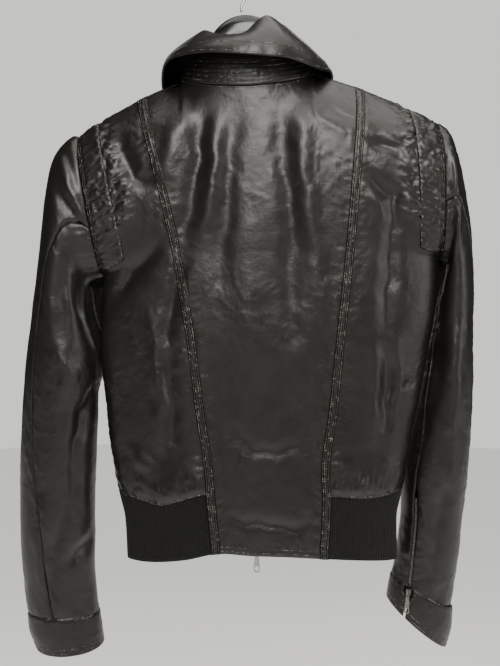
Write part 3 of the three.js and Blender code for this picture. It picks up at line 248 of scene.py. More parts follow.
# Folds of the cloth, each a soft line through three points, seen from behind (or from the
# front for the FRONT ones): name, three places (x, z), rise (below 0 for a trough) and width.
BACK_FOLDS = [
    ["neck pleat left", -43, -186, -52, -270, -73, -372, -6.6, 12],
    ["pleat ridge left", -68, -200, -84, -243, -92, -290, 3.6, 12],
    ["seam shadow left", -69, -390, -85, -433, -91, -479, -4.6, 9],
    ["neck ridge left", -27, -195, -33, -270, -46, -345, 3.4, 9],
    ["neck pleat middle", -4, -187, -16, -300, -27, -415, -4.4, 12],
    ["long trough", 47, -200, 59, -314, 64, -479, -5.4, 13],
    ["long ridge", 69, -184, 80, -302, 97, -437, 3.9, 12],
    ["collar crease right", 97, -177, 109, -201, 134, -221, -4.4, 8],
    ["collar ridge right", 82, -182, 97, -209, 125, -233, 2.4, 6],
    ["shoulder fold left", -152, -236, -132, -284, -103, -298, -7, 10],
    ["underarm fold left", -107, -372, -135, -402, -161, -437, -7.6, 10],
    ["blade crease right", 158, -238, 174, -247, 192, -252, -5.6, 7],
    ["blade fold right", 156, -285, 190, -309, 185, -353, -6, 10],
    ["side fold right", 185, -353, 181, -390, 181, -470, -5.6, 11],
    ["blade bulge right", 161, -309, 170, -321, 168, -346, 3, 8],
    ["waist ridge left", -109, -455, -102, -546, -101, -615, 4.2, 8],
    ["waist trough left", -88, -473, -86, -546, -85, -608, -4.4, 8],
    ["hip bulge left", -132, -627, -120, -639, -107, -649, 3.5, 9],
    ["waist trough right", 179, -498, 181, -546, 180, -590, -5.4, 8],
    ["waist ridge right", 164, -492, 165, -546, 163, -608, 3.6, 8],
    ["side ridge right", 194, -492, 195, -546, 192, -596, 2.6, 7],
    ["side crease right", 201, -546, 208, -544, 216, -541, -3, 4],
    ["hem crease", -12, -706, 36, -714, 86, -712, -2.8, 7],
    ["middle swell", 11, -351, 6, -473, 11, -608, 3.2, 20],
    ["waist crease middle", -16, -596, 17, -623, 72, -615, -2.6, 9],
]

FRONT_FOLDS = [
    ["chest fall left", -128, -236, -120, -330, -98, -430, -4, 9],
    ["chest ridge left", -98, -230, -92, -320, -76, -400, 3, 9],
    ["chest fall right", 168, -222, 158, -320, 140, -430, -4, 9],
    ["chest ridge right", 138, -215, 130, -300, 118, -390, 3, 9],
    ["underarm pull left", -165, -415, -132, -440, -96, -490, -4.5, 8],
    ["underarm pull right", 238, -395, 200, -430, 158, -480, -4.5, 8],
    ["waist trough left", -112, -490, -106, -560, -112, -640, -3.6, 8],
    ["waist ridge left", -86, -480, -80, -560, -86, -650, 3, 9],
    ["waist trough right", 165, -480, 160, -560, 158, -640, -3.6, 8],
    ["waist ridge right", 136, -470, 130, -560, 132, -650, 3, 9],
    ["zip swell left", -20, -300, -16, -450, -14, -620, 2.4, 14],
    ["zip swell right", 56, -300, 60, -450, 62, -600, 2.4, 14],
]

SLEEVE_FOLDS = {
    "left": [
        ["cap ridge", -228, -263, -212, -300, -184, -336, 4, 6],
        ["cap trough", -234, -285, -214, -322, -187, -357, -3.6, 6],
        ["outer ridge", -237, -319, -240, -399, -236, -479, 3, 9],
        ["outer trough", -220, -368, -221, -424, -219, -479, -3.6, 8],
        ["elbow bulge", -219, -500, -216, -530, -221, -560, 4, 9],
        ["elbow fold", -173, -525, -199, -575, -209, -646, -6.5, 8],
        ["forearm fold", -209, -646, -210, -671, -208, -708, -4, 8],
        ["wrist pocket", -189, -733, -199, -751, -210, -766, -4.5, 7],
        ["wrist trough", -221, -698, -234, -758, -239, -810, -3.4, 8],
        ["wrist ridge", -251, -690, -251, -745, -246, -802, 2.4, 8],
    ],
    "right": [
        ["cap ridge", 252, -237, 262, -274, 266, -311, 3, 6],
        ["cap pocket", 251, -311, 260, -329, 262, -346, -5, 7],
        ["cap crest", 270, -319, 270, -343, 266, -369, 3, 5],
        ["long fold", 251, -431, 250, -512, 239, -573, -7, 8],
        ["long fold end", 239, -573, 228, -610, 220, -647, -5, 7],
        ["outer ridge", 271, -473, 267, -560, 259, -660, 4, 9],
        ["forearm trough", 260, -610, 251, -703, 240, -784, -4, 8],
        ["forearm ridge", 228, -685, 240, -741, 247, -797, 3, 6],
    ],
}

SLEEVE_FRONT_FOLDS = {
    "left": [
        ["front cap fall", -232, -290, -214, -360, -204, -420, -4, 8],
        ["front elbow fold", -186, -500, -215, -540, -255, -556, -6, 8],
        ["front elbow ridge", -190, -530, -215, -566, -250, -584, 3.5, 8],
        ["front forearm fall", -250, -620, -240, -700, -236, -780, -3.6, 8],
    ],
    "right": [
        ["front cap fall", 272, -280, 268, -350, 262, -420, -4, 8],
        ["front elbow fold", 240, -500, 262, -540, 290, -550, -6, 8],
        ["front elbow ridge", 238, -530, 260, -566, 286, -580, 3.5, 8],
        ["front forearm fall", 262, -620, 250, -700, 240, -770, -3.6, 8],
    ],
}


# ---------------------------------------------------------------- small maths
def lookup(rows, key, at, column):
    """Values of a column where another column has the values at, on a smooth curve."""
    keys, values = rows[key], rows[column]
    last = len(keys) - 1
    i = np.clip(np.searchsorted(keys, at, side="right") - 1, 0, last - 1)
    before, after = np.maximum(i - 1, 0), np.minimum(i + 2, last)
    span = keys[i + 1] - keys[i]
    f = np.clip((at - keys[i]) / span, 0, 1)
    start = (values[i + 1] - values[before]) / (keys[i + 1] - keys[before]) * span
    end = (values[after] - values[i]) / (keys[after] - keys[i]) * span
    return (
        (2 * f**3 - 3 * f**2 + 1) * values[i]
        + (f**3 - 2 * f**2 + f) * start
        + (3 * f**2 - 2 * f**3) * values[i + 1]
        + (f**3 - f**2) * end
    )


def mix(a, b, f):
    """From a at 0 to b at 1."""
    return a + (b - a) * f


def smoothstep(low, high, at):
    """A soft step from 0 at low to 1 at high."""
    f = np.clip((at - low) / (high - low), 0, 1)
    return f * f * (3 - 2 * f)


def places(x, y, z):
    """Points from arrays of their coordinates."""
    return np.stack(np.broadcast_arrays(x, y, z), axis=-1).astype(float)


def unit(vectors):
    """The same directions with length 1."""
    return vectors / np.maximum(np.linalg.norm(vectors, axis=-1, keepdims=True), 1e-9)


def wander(at):
    """A smooth uneven wave between about -1 and 1."""
    return (np.sin(at) + 0.7 * np.sin(2.3 * at + 1.3) + 0.5 * np.sin(4.1 * at + 4.0)) / 2.2


def noise_at(points, size, octaves=2):
    """Smooth noise of about that size in mm, the same at each run."""
    spots = (points / size).reshape(-1, 3).tolist()
    values = [noise.fractal(spot, 0.9, 2.1, octaves) for spot in spots]
    return np.array(values).reshape(points.shape[:-1])


def fold_rise(folds, x, z):
    """How far points are pushed out by a list of folds, seen in the XZ plane."""
    rise = np.zeros(np.shape(x))
    # The lines aren't quite straight: each wanders a little off its course.
    x, z = x + 3.2 * wander(z / 23 + x / 71), z + 5 * wander(x / 19 + z / 83)
    for _, *line, height, width in folds:
        best, along = np.full(rise.shape, np.inf), np.zeros(rise.shape)
        for i in range(2):
            ax, az, bx, bz = line[2 * i : 2 * i + 4]
            f = (x - ax) * (bx - ax) + (z - az) * (bz - az)
            f = np.clip(f / ((bx - ax) ** 2 + (bz - az) ** 2), 0, 1)
            far = np.hypot(x - mix(ax, bx, f), z - mix(az, bz, f))
            along = np.where(far < best, (i + f) / 2, along)
            best = np.minimum(far, best)
        taper = 0.25 + 0.75 * np.sin(np.pi * (along * 0.9 + 0.05))
        rise += height * taper * np.exp(-((best / width) ** 2))
    return rise


# ---------------------------------------------------------------- the body's surface
# level runs from 0 at the shoulder line to 1 at the hem, and across from 0 at the left edge
# to 1 at the right edge. face is -1 for the back and 1 for the front.
def body_edge(side, face, level):
    """The armhole's edge, and below it the side seam."""
    (top_x, top_z), (bottom_x, bottom_z) = ARMHOLES[side]
    turn = np.pi * np.clip(level, 0, UNDERARM) / UNDERARM
    down, below = (1 - np.cos(turn)) / 2, level > UNDERARM
    seam_x, seam_z = (lookup(SIDE_SEAMS, "level", level, side + axis) for axis in "XZ")
    x = np.where(below, seam_x, mix(top_x, bottom_x, down))
    z = np.where(below, seam_z, mix(top_z, bottom_z, down))
    return places(x, face * ARMHOLE_DEPTH * np.sin(turn), z)


def neck_point(angle):
    """The neck seam, 0 degrees at the middle of the back and 180 at the middle of the front."""
    turn = np.radians(angle)
    depth = np.where(np.cos(turn) > 0, NECK_BACK, NECK_FRONT)
    z = lookup(COLLAR, "angle", angle, "neckZ")
    return places(NECK_X + NECK_HALF_WIDTH * np.sin(turn), -depth * np.cos(turn), z)


def neck_ends():
    """Where across the body the neckline starts and ends."""
    left = ARMHOLES["left"][0][0]
    width = ARMHOLES["right"][0][0] - left
    ends = (NECK_X - NECK_HALF_WIDTH, NECK_X + NECK_HALF_WIDTH)
    return [(x - left) / width for x in ends]


def top_point(face, across):
    """The shoulder seams and the neckline, where the body begins."""
    start, end = neck_ends()
    f = np.clip((across - start) / (end - start), 0, 1)
    if face < 0:
        angle = mix(-90, 90, f)
    else:
        angle = np.where(f < 0.5, mix(-90, -180, f * 2), mix(180, 90, f * 2 - 1))
    top = neck_point(angle)
    for side, outside, share in (
        ("left", across <= start, across / start),
        ("right", across >= end, (1 - across) / (1 - end)),
    ):
        hole_x, hole_z = ARMHOLES[side][0]
        neck = neck_point(np.array(-90.0 if side == "left" else 90.0))
        share = np.clip(share, 0, 1)
        lift = SHOULDER_LIFT * np.sin(np.pi * share)
        shoulder = places(mix(hole_x, neck[0], share), 0, mix(hole_z, neck[2], share) + lift)
        top = np.where(outside[..., None], shoulder, top)
    return top


def body_point(face, across, level):
    """The smooth surface of back and fronts: between its edges, out to its depth, with the
    neckline and shoulders at its top, the hem's droop and the folds.
    """
    across, level = np.broadcast_arrays(np.asarray(across, float), np.asarray(level, float))
    left, right = (body_edge(side, face, level) for side in SIDES)
    point = mix(left, right, across[..., None])
    first, last = (body_edge(side, face, np.array(0.0)) for side in SIDES)
    row_left = mix(first[2], SIDE_SEAMS["leftZ"][-1], level)
    row_right = mix(last[2], SIDE_SEAMS["rightZ"][-1], level)
    inside = smoothstep(0, 0.2, np.minimum(across, 1 - across))
    point[..., 2] = mix(point[..., 2], mix(row_left, row_right, across), inside)

    column = "back" if face < 0 else "front"
    reach = np.where(
        level < UNDERARM,
        lookup(UPPER_DEPTH, "level", level, column),
        lookup(SIDE_SEAMS, "level", level, column),
    )
    centred = np.minimum(np.abs(2 * across - 1), 1)
    open_ = np.sin(np.pi * np.clip(level, 0, UNDERARM) / UNDERARM)
    crown = mix((1 - centred**2.6) ** (1 / 2.4), 1 - centred**3, open_)
    point[..., 1] = mix(point[..., 1], face * reach, crown)

    top = top_point(face, across)
    flat = mix(first, last, across[..., None])
    shape = (1 - np.clip(level / TOP_BLEND, 0, 1)) ** 2
    point[..., 0] += (top[..., 0] - flat[..., 0]) * shape
    point[..., 2] += (top[..., 2] - flat[..., 2]) * shape
    tent = (1 - np.clip(level / TENT_BLEND, 0, 1)) ** 2
    point[..., 1] = mix(point[..., 1], top[..., 1], tent)

    hem = HEM_BACK if face < 0 else HEM_FRONT
    point[..., 2] += lookup(hem, "across", across, "rise") * level**3
    point[..., 1] += face * body_folds(face, across, level, point)
    return point


def body_folds(face, across, level, point):
    """Folds fade out towards the armholes, the neck, the side seams and the ribs."""
    edge = np.minimum(across, 1 - across)
    fade = smoothstep(0.02, 0.09, level) * smoothstep(0, 0.05, edge)
    folds = BACK_FOLDS if face < 0 else FRONT_FOLDS
    rise = fold_rise(folds, point[..., 0], point[..., 2]) * fade
    free = rise * smoothstep(1, 0.96, level)
    out = free
    for side in SIDES:
        rib_end = strap_place(side, level) if face < 0 else 0.5
        top = rib_top(side, edge / rib_end)
        drawn = smoothstep(top - 0.11, top - 0.03, level) * smoothstep(top, top - 0.02, level)
        blouse = BLOUSE * smoothstep(0, 0.03, edge)
        held = rise * smoothstep(top, top - 0.04, level) + blouse * drawn
        own = (across < 0.5) == (side == "left")
        out = np.where(own, mix(free, held, smoothstep(0, 0.04, rib_end - edge)), out)
    return out


def rib_top(side, place):
    """The level at which the leather ends and the ribs begin."""
    return lookup(RIB_TOP, "place", np.clip(place, 0, 1), side)


def body_width(level):
    """How wide the body is at a level, from one side seam or armhole to the other."""
    return body_edge("right", -1, level)[..., 0] - body_edge("left", -1, level)[..., 0]


def strap_place(side, level):
    """A strap's middle as a part of the body's width, counted from its own side."""
    x = lookup(STRAPS, "z", mix(-185, -757, level), side)
    return np.abs(x - body_edge(side, -1, level)[..., 0]) / body_width(level)


def from_left(side, place):
    """Counts a place from the left edge that is given from its own side."""
    return place if side == "left" else 1 - place


def front_place(level, inset):
    """Places of the front, as parts of the width, that lie inset mm from its middle."""
    return 0.5 - inset / body_width(level)


# Each surface takes arrays u, along the rows of a piece, and v, level or row, down it.
def back_centre_surface(u, level):
    """u is -1 and 2 at the seams under the straps, 0 and 1 at the straps' inner edges."""

    def edge(side, part):
        return strap_place(side, level) + part * HALF_STRAP / body_width(level)

    start = edge("left", np.minimum(u, 0) + 1)
    end = 1 - edge("right", 1 - np.maximum(u - 1, 0))
    return body_point(-1, mix(start, end, np.clip(u, 0, 1)), level)


def back_side_surface(side, u, v):
    """u is 0 at the armhole or side seam and 1 at the seam under the strap."""
    level = v * rib_top(side, u)
    return body_point(-1, from_left(side, u * strap_place(side, level)), level)


def front_surface(side, u, v):
    """u is 0 at the armhole or side seam and 1 at the zip's tape."""
    inset = FRONT_GAP + ZIP_TAPE
    level = v * rib_top(side, 2 * u * front_place(v, inset))
    return body_point(1, from_left(side, u * front_place(level, inset)), level)


def strap_surface(side, u, level):
    """u is -1 and 1 at the strap's two edges."""
    place = strap_place(side, level) + u * HALF_STRAP / body_width(level)
    return body_point(-1, from_left(side, place), level)


def strip_surface(side, u, level):
    """u is 0 at the armhole and 1 at the strip's inner edge."""
    width = lookup(ARMHOLE_STRIP, "level", level, side) / body_width(level)
    return body_point(-1, from_left(side, u * width), level)


def rib_surface(side, u, v):
    """u is 0 at the strap, 1 at the side seam and 2 at the zip's tape."""

    def on_face(face, place, rib_place, v):
        level = mix(rib_top(side, rib_place) - 0.006, 1, v)
        point = body_point(face, from_left(side, place), level)
        point[..., 1] -= face * RIB_DRAWN_IN * smoothstep(0, 0.03, place)
        return point

    low = mix(STRAP_RIB_LEVEL, 1, v)
    place_back = np.clip(1 - u, 0, 1) * strap_place(side, low)
    place_front = np.clip(u - 1, 0, 1) * front_place(low, FRONT_GAP + ZIP_TAPE + 0.6)
    back = on_face(-1, place_back, place_back / strap_place(side, low), v)
    front = on_face(1, place_front, 2 * place_front, v)
    return np.where((u > 1)[..., None], front, back)


def tape_surface(side, u, level):
    """One half of the front zip: u is 0 under the leather and 1 at the teeth."""
    inset = mix(FRONT_GAP + ZIP_TAPE + TAPE_HIDDEN, FRONT_GAP, u)
    point = body_point(1, from_left(side, front_place(level, inset)), level)
    point[..., 1] -= TAPE_UNDER * smoothstep(0.5, 0.2, u)
    return point


# ---------------------------------------------------------------- sleeves and collar
def ring_point(rows, angle, row):
    """Points on a sleeve's or cuff's rings, and the directions in which they stand off."""
    names = ("outerX", "middleY", "outerZ"), ("innerX", "middleY", "innerZ")
    outer, inner = (places(*(lookup(rows, "row", row, name) for name in end)) for end in names)
    middle = (outer + inner) / 2
    turn = np.radians(angle)
    axis = outer - middle
    point = middle + axis * np.cos(turn)[..., None]
    point[..., 1] -= lookup(rows, "row", row, "halfDepth") * np.sin(turn)
    radial = unit(axis) * np.cos(turn)[..., None]
    radial[..., 1] -= np.sin(turn)
    return point, radial


# How far, and between which rows, each sleeve's front reaches over the body's side.
UNDERARM_OVER = {
    "left": {"reach": 25, "from": 1.8, "to": 6.4},
    "right": {"reach": 24, "from": 0.4, "to": 5.6},
}


def sleeve_point(side, angle, row):
    """A sleeve's surface with its folds, seen from behind and from the front."""
    point, radial = ring_point(SLEEVES[side], angle, row)
    turn = np.radians(angle)
    fade = smoothstep(0.2, 1.2, row) * smoothstep(14, 13.2, row)
    back = smoothstep(0.05, 0.45, np.sin(turn))
    front = smoothstep(0.05, 0.45, -np.sin(turn))
    # Below the armhole the sleeve's front lies over the body's side, and closes the hollow
    # between them when seen from behind.
    over = UNDERARM_OVER[side]
    reach = over["reach"] * smoothstep(over["from"], over["from"] + 1.2, row)
    reach = reach * smoothstep(over["to"] + 1.4, over["to"], row)
    inward = smoothstep(0.0, 0.8, -np.sin(turn)) * smoothstep(-0.75, 0.2, -np.cos(turn))
    point[..., 0] += (1 if side == "left" else -1) * reach * inward
    x, z = point[..., 0], point[..., 2]
    rise = back * fold_rise(SLEEVE_FOLDS[side], x, z)
    rise += front * fold_rise(SLEEVE_FRONT_FOLDS[side], x, z)
    return point + radial * (rise * fade)[..., None]


def sleeve_seams(side, row):
    """The two seams' angles, and half the zip's opening at the inner one."""
    back = lookup(SLEEVE_SEAMS[side], "row", row, "back")
    inner = lookup(SLEEVE_SEAMS[side], "row", row, "inner")
    opening = CUFF_ZIP_HALF * smoothstep(CUFF_ZIP_TOP - 0.4, CUFF_ZIP_TOP, row)
    radius = lookup(SLEEVES[side], "row", row, "halfDepth")
    return back, inner, np.degrees(opening / radius)


def under_sleeve_surface(side, u, row):
    """u is 0 at the seam at the back and 1 at the inner one."""
    back, inner, opening = sleeve_seams(side, row)
    return sleeve_point(side, mix(back, inner - opening, u), row)


def top_sleeve_surface(side, u, row):
    """u is 0 at the inner seam and 1 at the one at the back, round the front."""
    back, inner, opening = sleeve_seams(side, row)
    return sleeve_point(side, mix(inner + opening, back + 360, u), row)


def cuff_surface(side, u, row):
    """u runs round the wrist from one side of the slit to the other."""
    inner = SLEEVE_SEAMS[side]["inner"][-1]
    # The slit is wide round the zip's slider and nearly closes below it.
    slit = mix(CUFF_SLIT, CUFF_SLIT_END, smoothstep(0.3, 0.7, row))
    angle = mix(inner + slit, inner + 360 - slit, u)
    point, radial = ring_point(CUFFS[side], angle, row)
    point[..., 2] -= CUFF_DROOP * row / 2 * np.sin(np.radians(angle))
    # Above row 0 the band is tucked under the sleeve's end.
    tuck = np.clip(-row / 0.2, 0, 1)[..., None]
    return point - radial * TUCKED_IN * tuck + np.array([0, 0, TUCKED_UP]) * tuck


def cuff_zip_surface(side, half, u, row):
    """The zip in a sleeve's inner seam: u is -1 and 1 at half mm to each side of its middle."""
    _, inner, _ = sleeve_seams(side, row)
    radius = lookup(SLEEVES[side], "row", row, "halfDepth")
    return sleeve_point(side, inner + u * np.degrees(half / radius), row)


def collar_lines(angle):
    """Round the collar: its neck seam, fold, outer edge and the directions away from the neck."""
    fold, edge = (
        places(*(lookup(COLLAR, "angle", angle, line + axis) for axis in "XYZ"))
        for line in ("fold", "edge")
    )
    turn = np.radians(angle)
    return neck_point(angle), fold, edge, places(np.sin(turn), -np.cos(turn), 0)


def stand_surface(angle, v):
    """From the neck seam at 0 up to 1, just under the fall."""
    neck, fold, _, outward = collar_lines(angle)
    height = np.linalg.norm(fold - neck, axis=-1)
    point = mix(neck, fold, (v * (1 - STAND_SHORT / height))[..., None])
    return point + outward * (1.2 * np.sin(np.pi * v) - 3 * v * v)[..., None]


def fall_surface(angle, v):
    """From inside the stand (v below 0), over the roll at 0 and down to the edge at 1."""
    _, fold, edge, outward = collar_lines(angle)
    drop = lookup(COLLAR, "angle", angle, "drop")
    roll = places(edge[..., 0], edge[..., 1], mix(fold[..., 2], edge[..., 2], drop))
    down = np.clip(v, 0, 1)[..., None]
    point = mix(mix(fold, roll, down), mix(roll, edge, down), down)
    turn = np.clip(-v / 0.2, 0, 1) * np.pi / 2
    point -= outward * (ROLL_RADIUS * np.sin(turn))[..., None]
    point[..., 2] -= ROLL_RADIUS * (1 - np.cos(turn)) + 8 * np.clip(-v - 0.2, 0, 1) / 0.1
    return point


# ---------------------------------------------------------------- sheets of leather
def even_places(line, start, end, step):
    """Places from start to end, evenly about step mm apart along line(places)."""
    trial = np.linspace(start, end, 601)
    steps = np.linalg.norm(np.diff(line(trial), axis=0), axis=-1)
    length = np.concatenate([[0], np.cumsum(steps)])
    count = max(2, round(length[-1] / step))
    return np.interp(np.linspace(0, length[-1], count + 1), length, trial)


def grid_of(surface, u_range, v_range, step, down_step=None):
    """Rows of points of a surface, about step mm apart."""
    u_middle, v_middle = np.mean(u_range), np.mean(v_range)
    us = even_places(lambda u: surface(u, np.full_like(u, v_middle)), *u_range, step)
    vs = even_places(lambda v: surface(np.full_like(v, u_middle), v), *v_range, down_step or step)
    return surface(*np.meshgrid(us, vs))


def outward_of(points, turned):
    """Outward directions of a grid; turned where its rows run the other way round."""
    along, down = np.gradient(points, axis=1), np.gradient(points, axis=0)
    return unit(np.cross(along, down)) * (-1 if turned else 1)


def lengths_along(points, axis):
    """Length from the first to each point of a grid, along its rows (1) or down it (0)."""
    steps = np.linalg.norm(np.diff(points, axis=axis), axis=-1)
    start = np.zeros_like(np.take(steps, [0], axis=axis))
    return np.concatenate([start, np.cumsum(steps, axis=axis)], axis=axis)


def edge_lengths(points):
    """Distance from each edge of a grid, and the length along that edge."""
    along, down = lengths_along(points, 1), lengths_along(points, 0)
    return {
        "start": (along, down),
        "end": (along[:, -1:] - along, down),
        "top": (down, along),
        "bottom": (down[-1:] - down, along),
    }


@dataclass
class Seam:
    """Sewing along one edge of a piece: it holds the leather down and puckers it beside."""

    edge: str
    rise: float  # of the puckers, in pucker depths
    pitch: float  # from one pucker to the next, in mm
    reach: float  # how far the puckers run into the piece
    seed: int
    lap: float = 0  # width that another piece covers, in which the leather stays flat
    groove: float = 0.8  # depth of the line that the stitches press in
    double: float = 0  # how far beside the first line a second one runs

    def lift(self, far, along):
        """How far the leather stands out, at distances from the edge and along it."""
        # Puckers run across the seam: they are short along it and long away from it.
        spots = places(along * 9 / self.pitch, (far - self.lap) * 0.3, 40 * self.seed)
        puckers = 1.9 * noise_at(spots, 5.2, 2) + 0.5 * wander(along / 17 + self.seed)
        beside = np.exp(-(((far - self.lap - 0.3 * self.reach) / self.reach) ** 2))
        height = self.rise * size_of("pucker")
        lift = height * puckers * beside * smoothstep(0, 2.5, far - self.lap)
        if np.any(self.lap):
            return lift
        for at in (0, self.double) if self.double else (0,):
            lift = lift - self.groove * np.exp(-(((far - at) / GROOVE_HALF) ** 2))
        return lift

    def held(self, far):
        """0 under the piece that covers this edge, and 1 where the leather is free."""
        return smoothstep(self.lap - 1, self.lap + 3.5, far) if np.any(self.lap) else 1.0


def worn(points, turned, seams, crease=1.0, swell=1.1):
    """A grid of leather with its puckers, creases (in crease depths) and swells (in mm)."""
    outward = outward_of(points, turned)
    edges = edge_lengths(points)
    lift, free = np.zeros(points.shape[:2]), np.ones(points.shape[:2])
    for seam in seams:
        far, along = edges[seam.edge]
        lift += seam.lift(far, along)
        free = free * seam.held(far)
    # Creases run longer down the cloth than across it. Each noise is read at a place of its
    # own, so that none repeats another.
    stretched = points * np.array([1.0, 0.7, 0.62])
    soft = noise_at(stretched + 311, 44)
    crumple = noise_at(stretched + 501, 8, 2)
    # A crease stands where this noise changes sign, and only patches of the leather have them.
    lines = noise_at(stretched + 57, 19, 3)
    ridges = np.exp(-((lines / 0.11) ** 2)) - 0.35
    where = smoothstep(-0.1, 0.45, noise_at(points + 911, 70, 1))
    far_edge = np.minimum.reduce([edges[name][0] for name in edges])
    creases = (ridges + 0.4 * crumple) * (0.15 + 0.85 * where)
    fine = (swell * soft + crease * size_of("crease") * creases) * smoothstep(0, 7, far_edge)
    return points + outward * ((lift + fine) * free)[..., None]


def seam_line(points, turned, edge, inset, lift):
    """A line kept inset mm from an edge of a grid: its points, directions and off-directions."""
    outward = outward_of(points, turned)
    if edge in ("top", "bottom"):
        points, outward = points.swapaxes(0, 1), outward.swapaxes(0, 1)
    if edge in ("end", "bottom"):
        points, outward = points[:, ::-1], outward[:, ::-1]
    lengths = lengths_along(points, 1)
    inset = np.broadcast_to(inset, len(points))
    rows = []
    for row, directions, length, far in zip(points, outward, lengths, inset):
        spot = [np.interp(far, length, row[:, k]) for k in range(3)]
        rows.append(spot + [np.interp(far, length, directions[:, k]) for k in range(3)])
    rows = np.array(rows)
    return rows[:, :3] + unit(rows[:, 3:]) * lift, unit(rows[:, 3:])


def along_line(line, outward, pitch, skip=1.5):
    """Centres at an even pitch along a line, with the direction along and off the cloth."""
    length = lengths_along(line, 0)
    count = max(2, int((length[-1] - 2 * skip) / pitch))
    at = skip + pitch * np.arange(count)
    centre = np.stack([np.interp(at, length, line[:, k]) for k in range(3)], axis=1)
    up = unit(np.stack([np.interp(at, length, outward[:, k]) for k in range(3)], axis=1))
    way = unit(np.gradient(centre, axis=0))
    side = unit(np.cross(up, way))
    return centre, way, side, unit(np.cross(way, side))


# ---------------------------------------------------------------- meshes
def placed(mesh, material, flat_shaded=False):
    """An object of a mesh, at the origin and with one material."""
    mesh.materials.append(material)
    mesh.polygons.foreach_set("use_smooth", [not flat_shaded] * len(mesh.polygons))
    thing = bpy.data.objects.new(mesh.name, mesh)
    bpy.context.scene.collection.objects.link(thing)
    return thing


def finished(bm, name, material, flat_shaded=False):
    """An object made of a bmesh, which is used up."""
    mesh = bpy.data.meshes.new(name)
    bm.to_mesh(mesh)
    bm.free()
    return placed(mesh, material, flat_shaded)


def cut_sheet(name, points, turned, material, wall):
    """A sheet of cloth through a grid of points, with a wall and a map in real lengths."""
    rows, columns = points.shape[:2]
    spots = (points * MM).tolist()
    bm = bmesh.new()
    bmesh.ops.create_grid(bm, x_segments=columns - 1, y_segments=rows - 1, size=1)
    where = []
    for vert in bm.verts:
        column = round((vert.co.x + 1) / 2 * (columns - 1))
        row = round((vert.co.y + 1) / 2 * (rows - 1))
        vert.co = spots[row][column]
        where.append(row * columns + column)
    if turned:
        bmesh.ops.reverse_faces(bm, faces=bm.faces)
    thing = finished(bm, name, material)
    cloth_map = np.stack([lengths_along(points, 1), lengths_along(points, 0)], -1).reshape(-1, 2)
    corners = np.zeros(len(thing.data.loops), int)
    thing.data.loops.foreach_get("vertex_index", corners)
    layer = thing.data.uv_layers.new(name="Cloth")
    layer.data.foreach_set("uv", (cloth_map[np.array(where)][corners] * MM).ravel())
    shell = thing.modifiers.new("Wall", "SOLIDIFY")
    shell.thickness, shell.offset = wall * MM, 0
    return thing


def declare_sheet(thing, points, node, extras=()):
    """Rides with the body and hides its solid; works out the flat cut's lengths and area, which
    are not used.
    """
    width = lengths_along(points, 1)[:, -1].max() * MM
    length = lengths_along(points, 0)[-1].max() * MM
    along, down = np.diff(points, axis=1)[:-1], np.diff(points, axis=0)[:, :-1]
    area = np.linalg.norm(np.cross(along, down), axis=-1).sum() * MM * MM
    for piece in (thing, *extras):
        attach(piece, BODY)
    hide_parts(node)
    area, extras = min(area, width * length), list(extras)


def many(name, template, rows, material):
    """One mesh of many copies of a small bmesh, set along rows as along_line gives them."""
    centres, ways, sides, ups = (np.concatenate([row[k] for row in rows]) for k in range(4))
    template.verts.index_update()
    corners = np.array([vert.co[:] for vert in template.verts])
    faces = [[vert.index for vert in face.verts] for face in template.faces]
    template.free()
    turned = np.stack([ways, sides, ups], axis=1)
    spots = centres[:, None, :] + np.einsum("vk,nkc->nvc", corners, turned)
    count = len(corners)
    all_faces = [[i + n * count for i in face] for n in range(len(centres)) for face in faces]
    mesh = bpy.data.meshes.new(name)
    mesh.from_pydata((spots.reshape(-1, 3) * MM).tolist(), [], all_faces)
    return placed(mesh, material)


def stitch_shape(length, thread):
    """One stitch: a plump spindle of thread lying along X."""
    bm = bmesh.new()
    bmesh.ops.create_uvsphere(bm, u_segments=6, v_segments=4, radius=0.5)
    bmesh.ops.rotate(bm, verts=bm.verts, matrix=Matrix.Rotation(math.pi / 2, 3, "Y"))
    bmesh.ops.scale(bm, vec=(length, thread * 1.15, thread), verts=bm.verts)
    return bm


def sew(name, lines):
    """Rows of stitches along lines of (points, outward directions)."""
    pitch = size_of("stitch_pitch")
    rows = [along_line(line, outward, pitch) for line, outward in lines]
    return many(name, stitch_shape(pitch * 0.84, size_of("thread")), rows, materials("thread"))


def sewn(name, flat, turned, seams, rows, crease=1.0, swell=1.1, wall=LEATHER,
         leather="leather", pushed=None, joints=None):
    """rows are its rows of stitches, as (edge, inset in mm). pushed moves its points off the
    surface before it is worn in, and joints gives more lines of stitches.
    """
    raised = flat if pushed is None else flat + outward_of(flat, turned) * pushed[..., None]
    shaped = worn(raised, turned, seams, crease, swell)
    sheet = cut_sheet(name + "_leather", shaped, turned, materials(leather), wall)
    lift = wall / 2 + ABOVE_LEATHER
    lines = [seam_line(shaped, turned, edge, inset, lift) for edge, inset in rows]
    if joints:
        lines += joints(shaped)
    thread = sew(name + "_stitches", lines)
    declare_sheet(sheet, flat, name, extras=[thread])


def node_copy(node, ending, kind, body):
    """A merged copy of one of the frame's solids, ready to be rounded, which replaces it."""
    bm = bmesh.new()
    bm.from_mesh(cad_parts[node].data)
    bmesh.ops.remove_doubles(bm, verts=bm.verts, dist=1e-6)
    bmesh.ops.dissolve_limit(bm, angle_limit=math.radians(0.5), verts=bm.verts, edges=bm.edges)
    bmesh.ops.recalc_face_normals(bm, faces=bm.faces)
    piece = finished(bm, node + ending, materials(kind))
    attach(piece, body)
    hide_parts(node)
    return piece


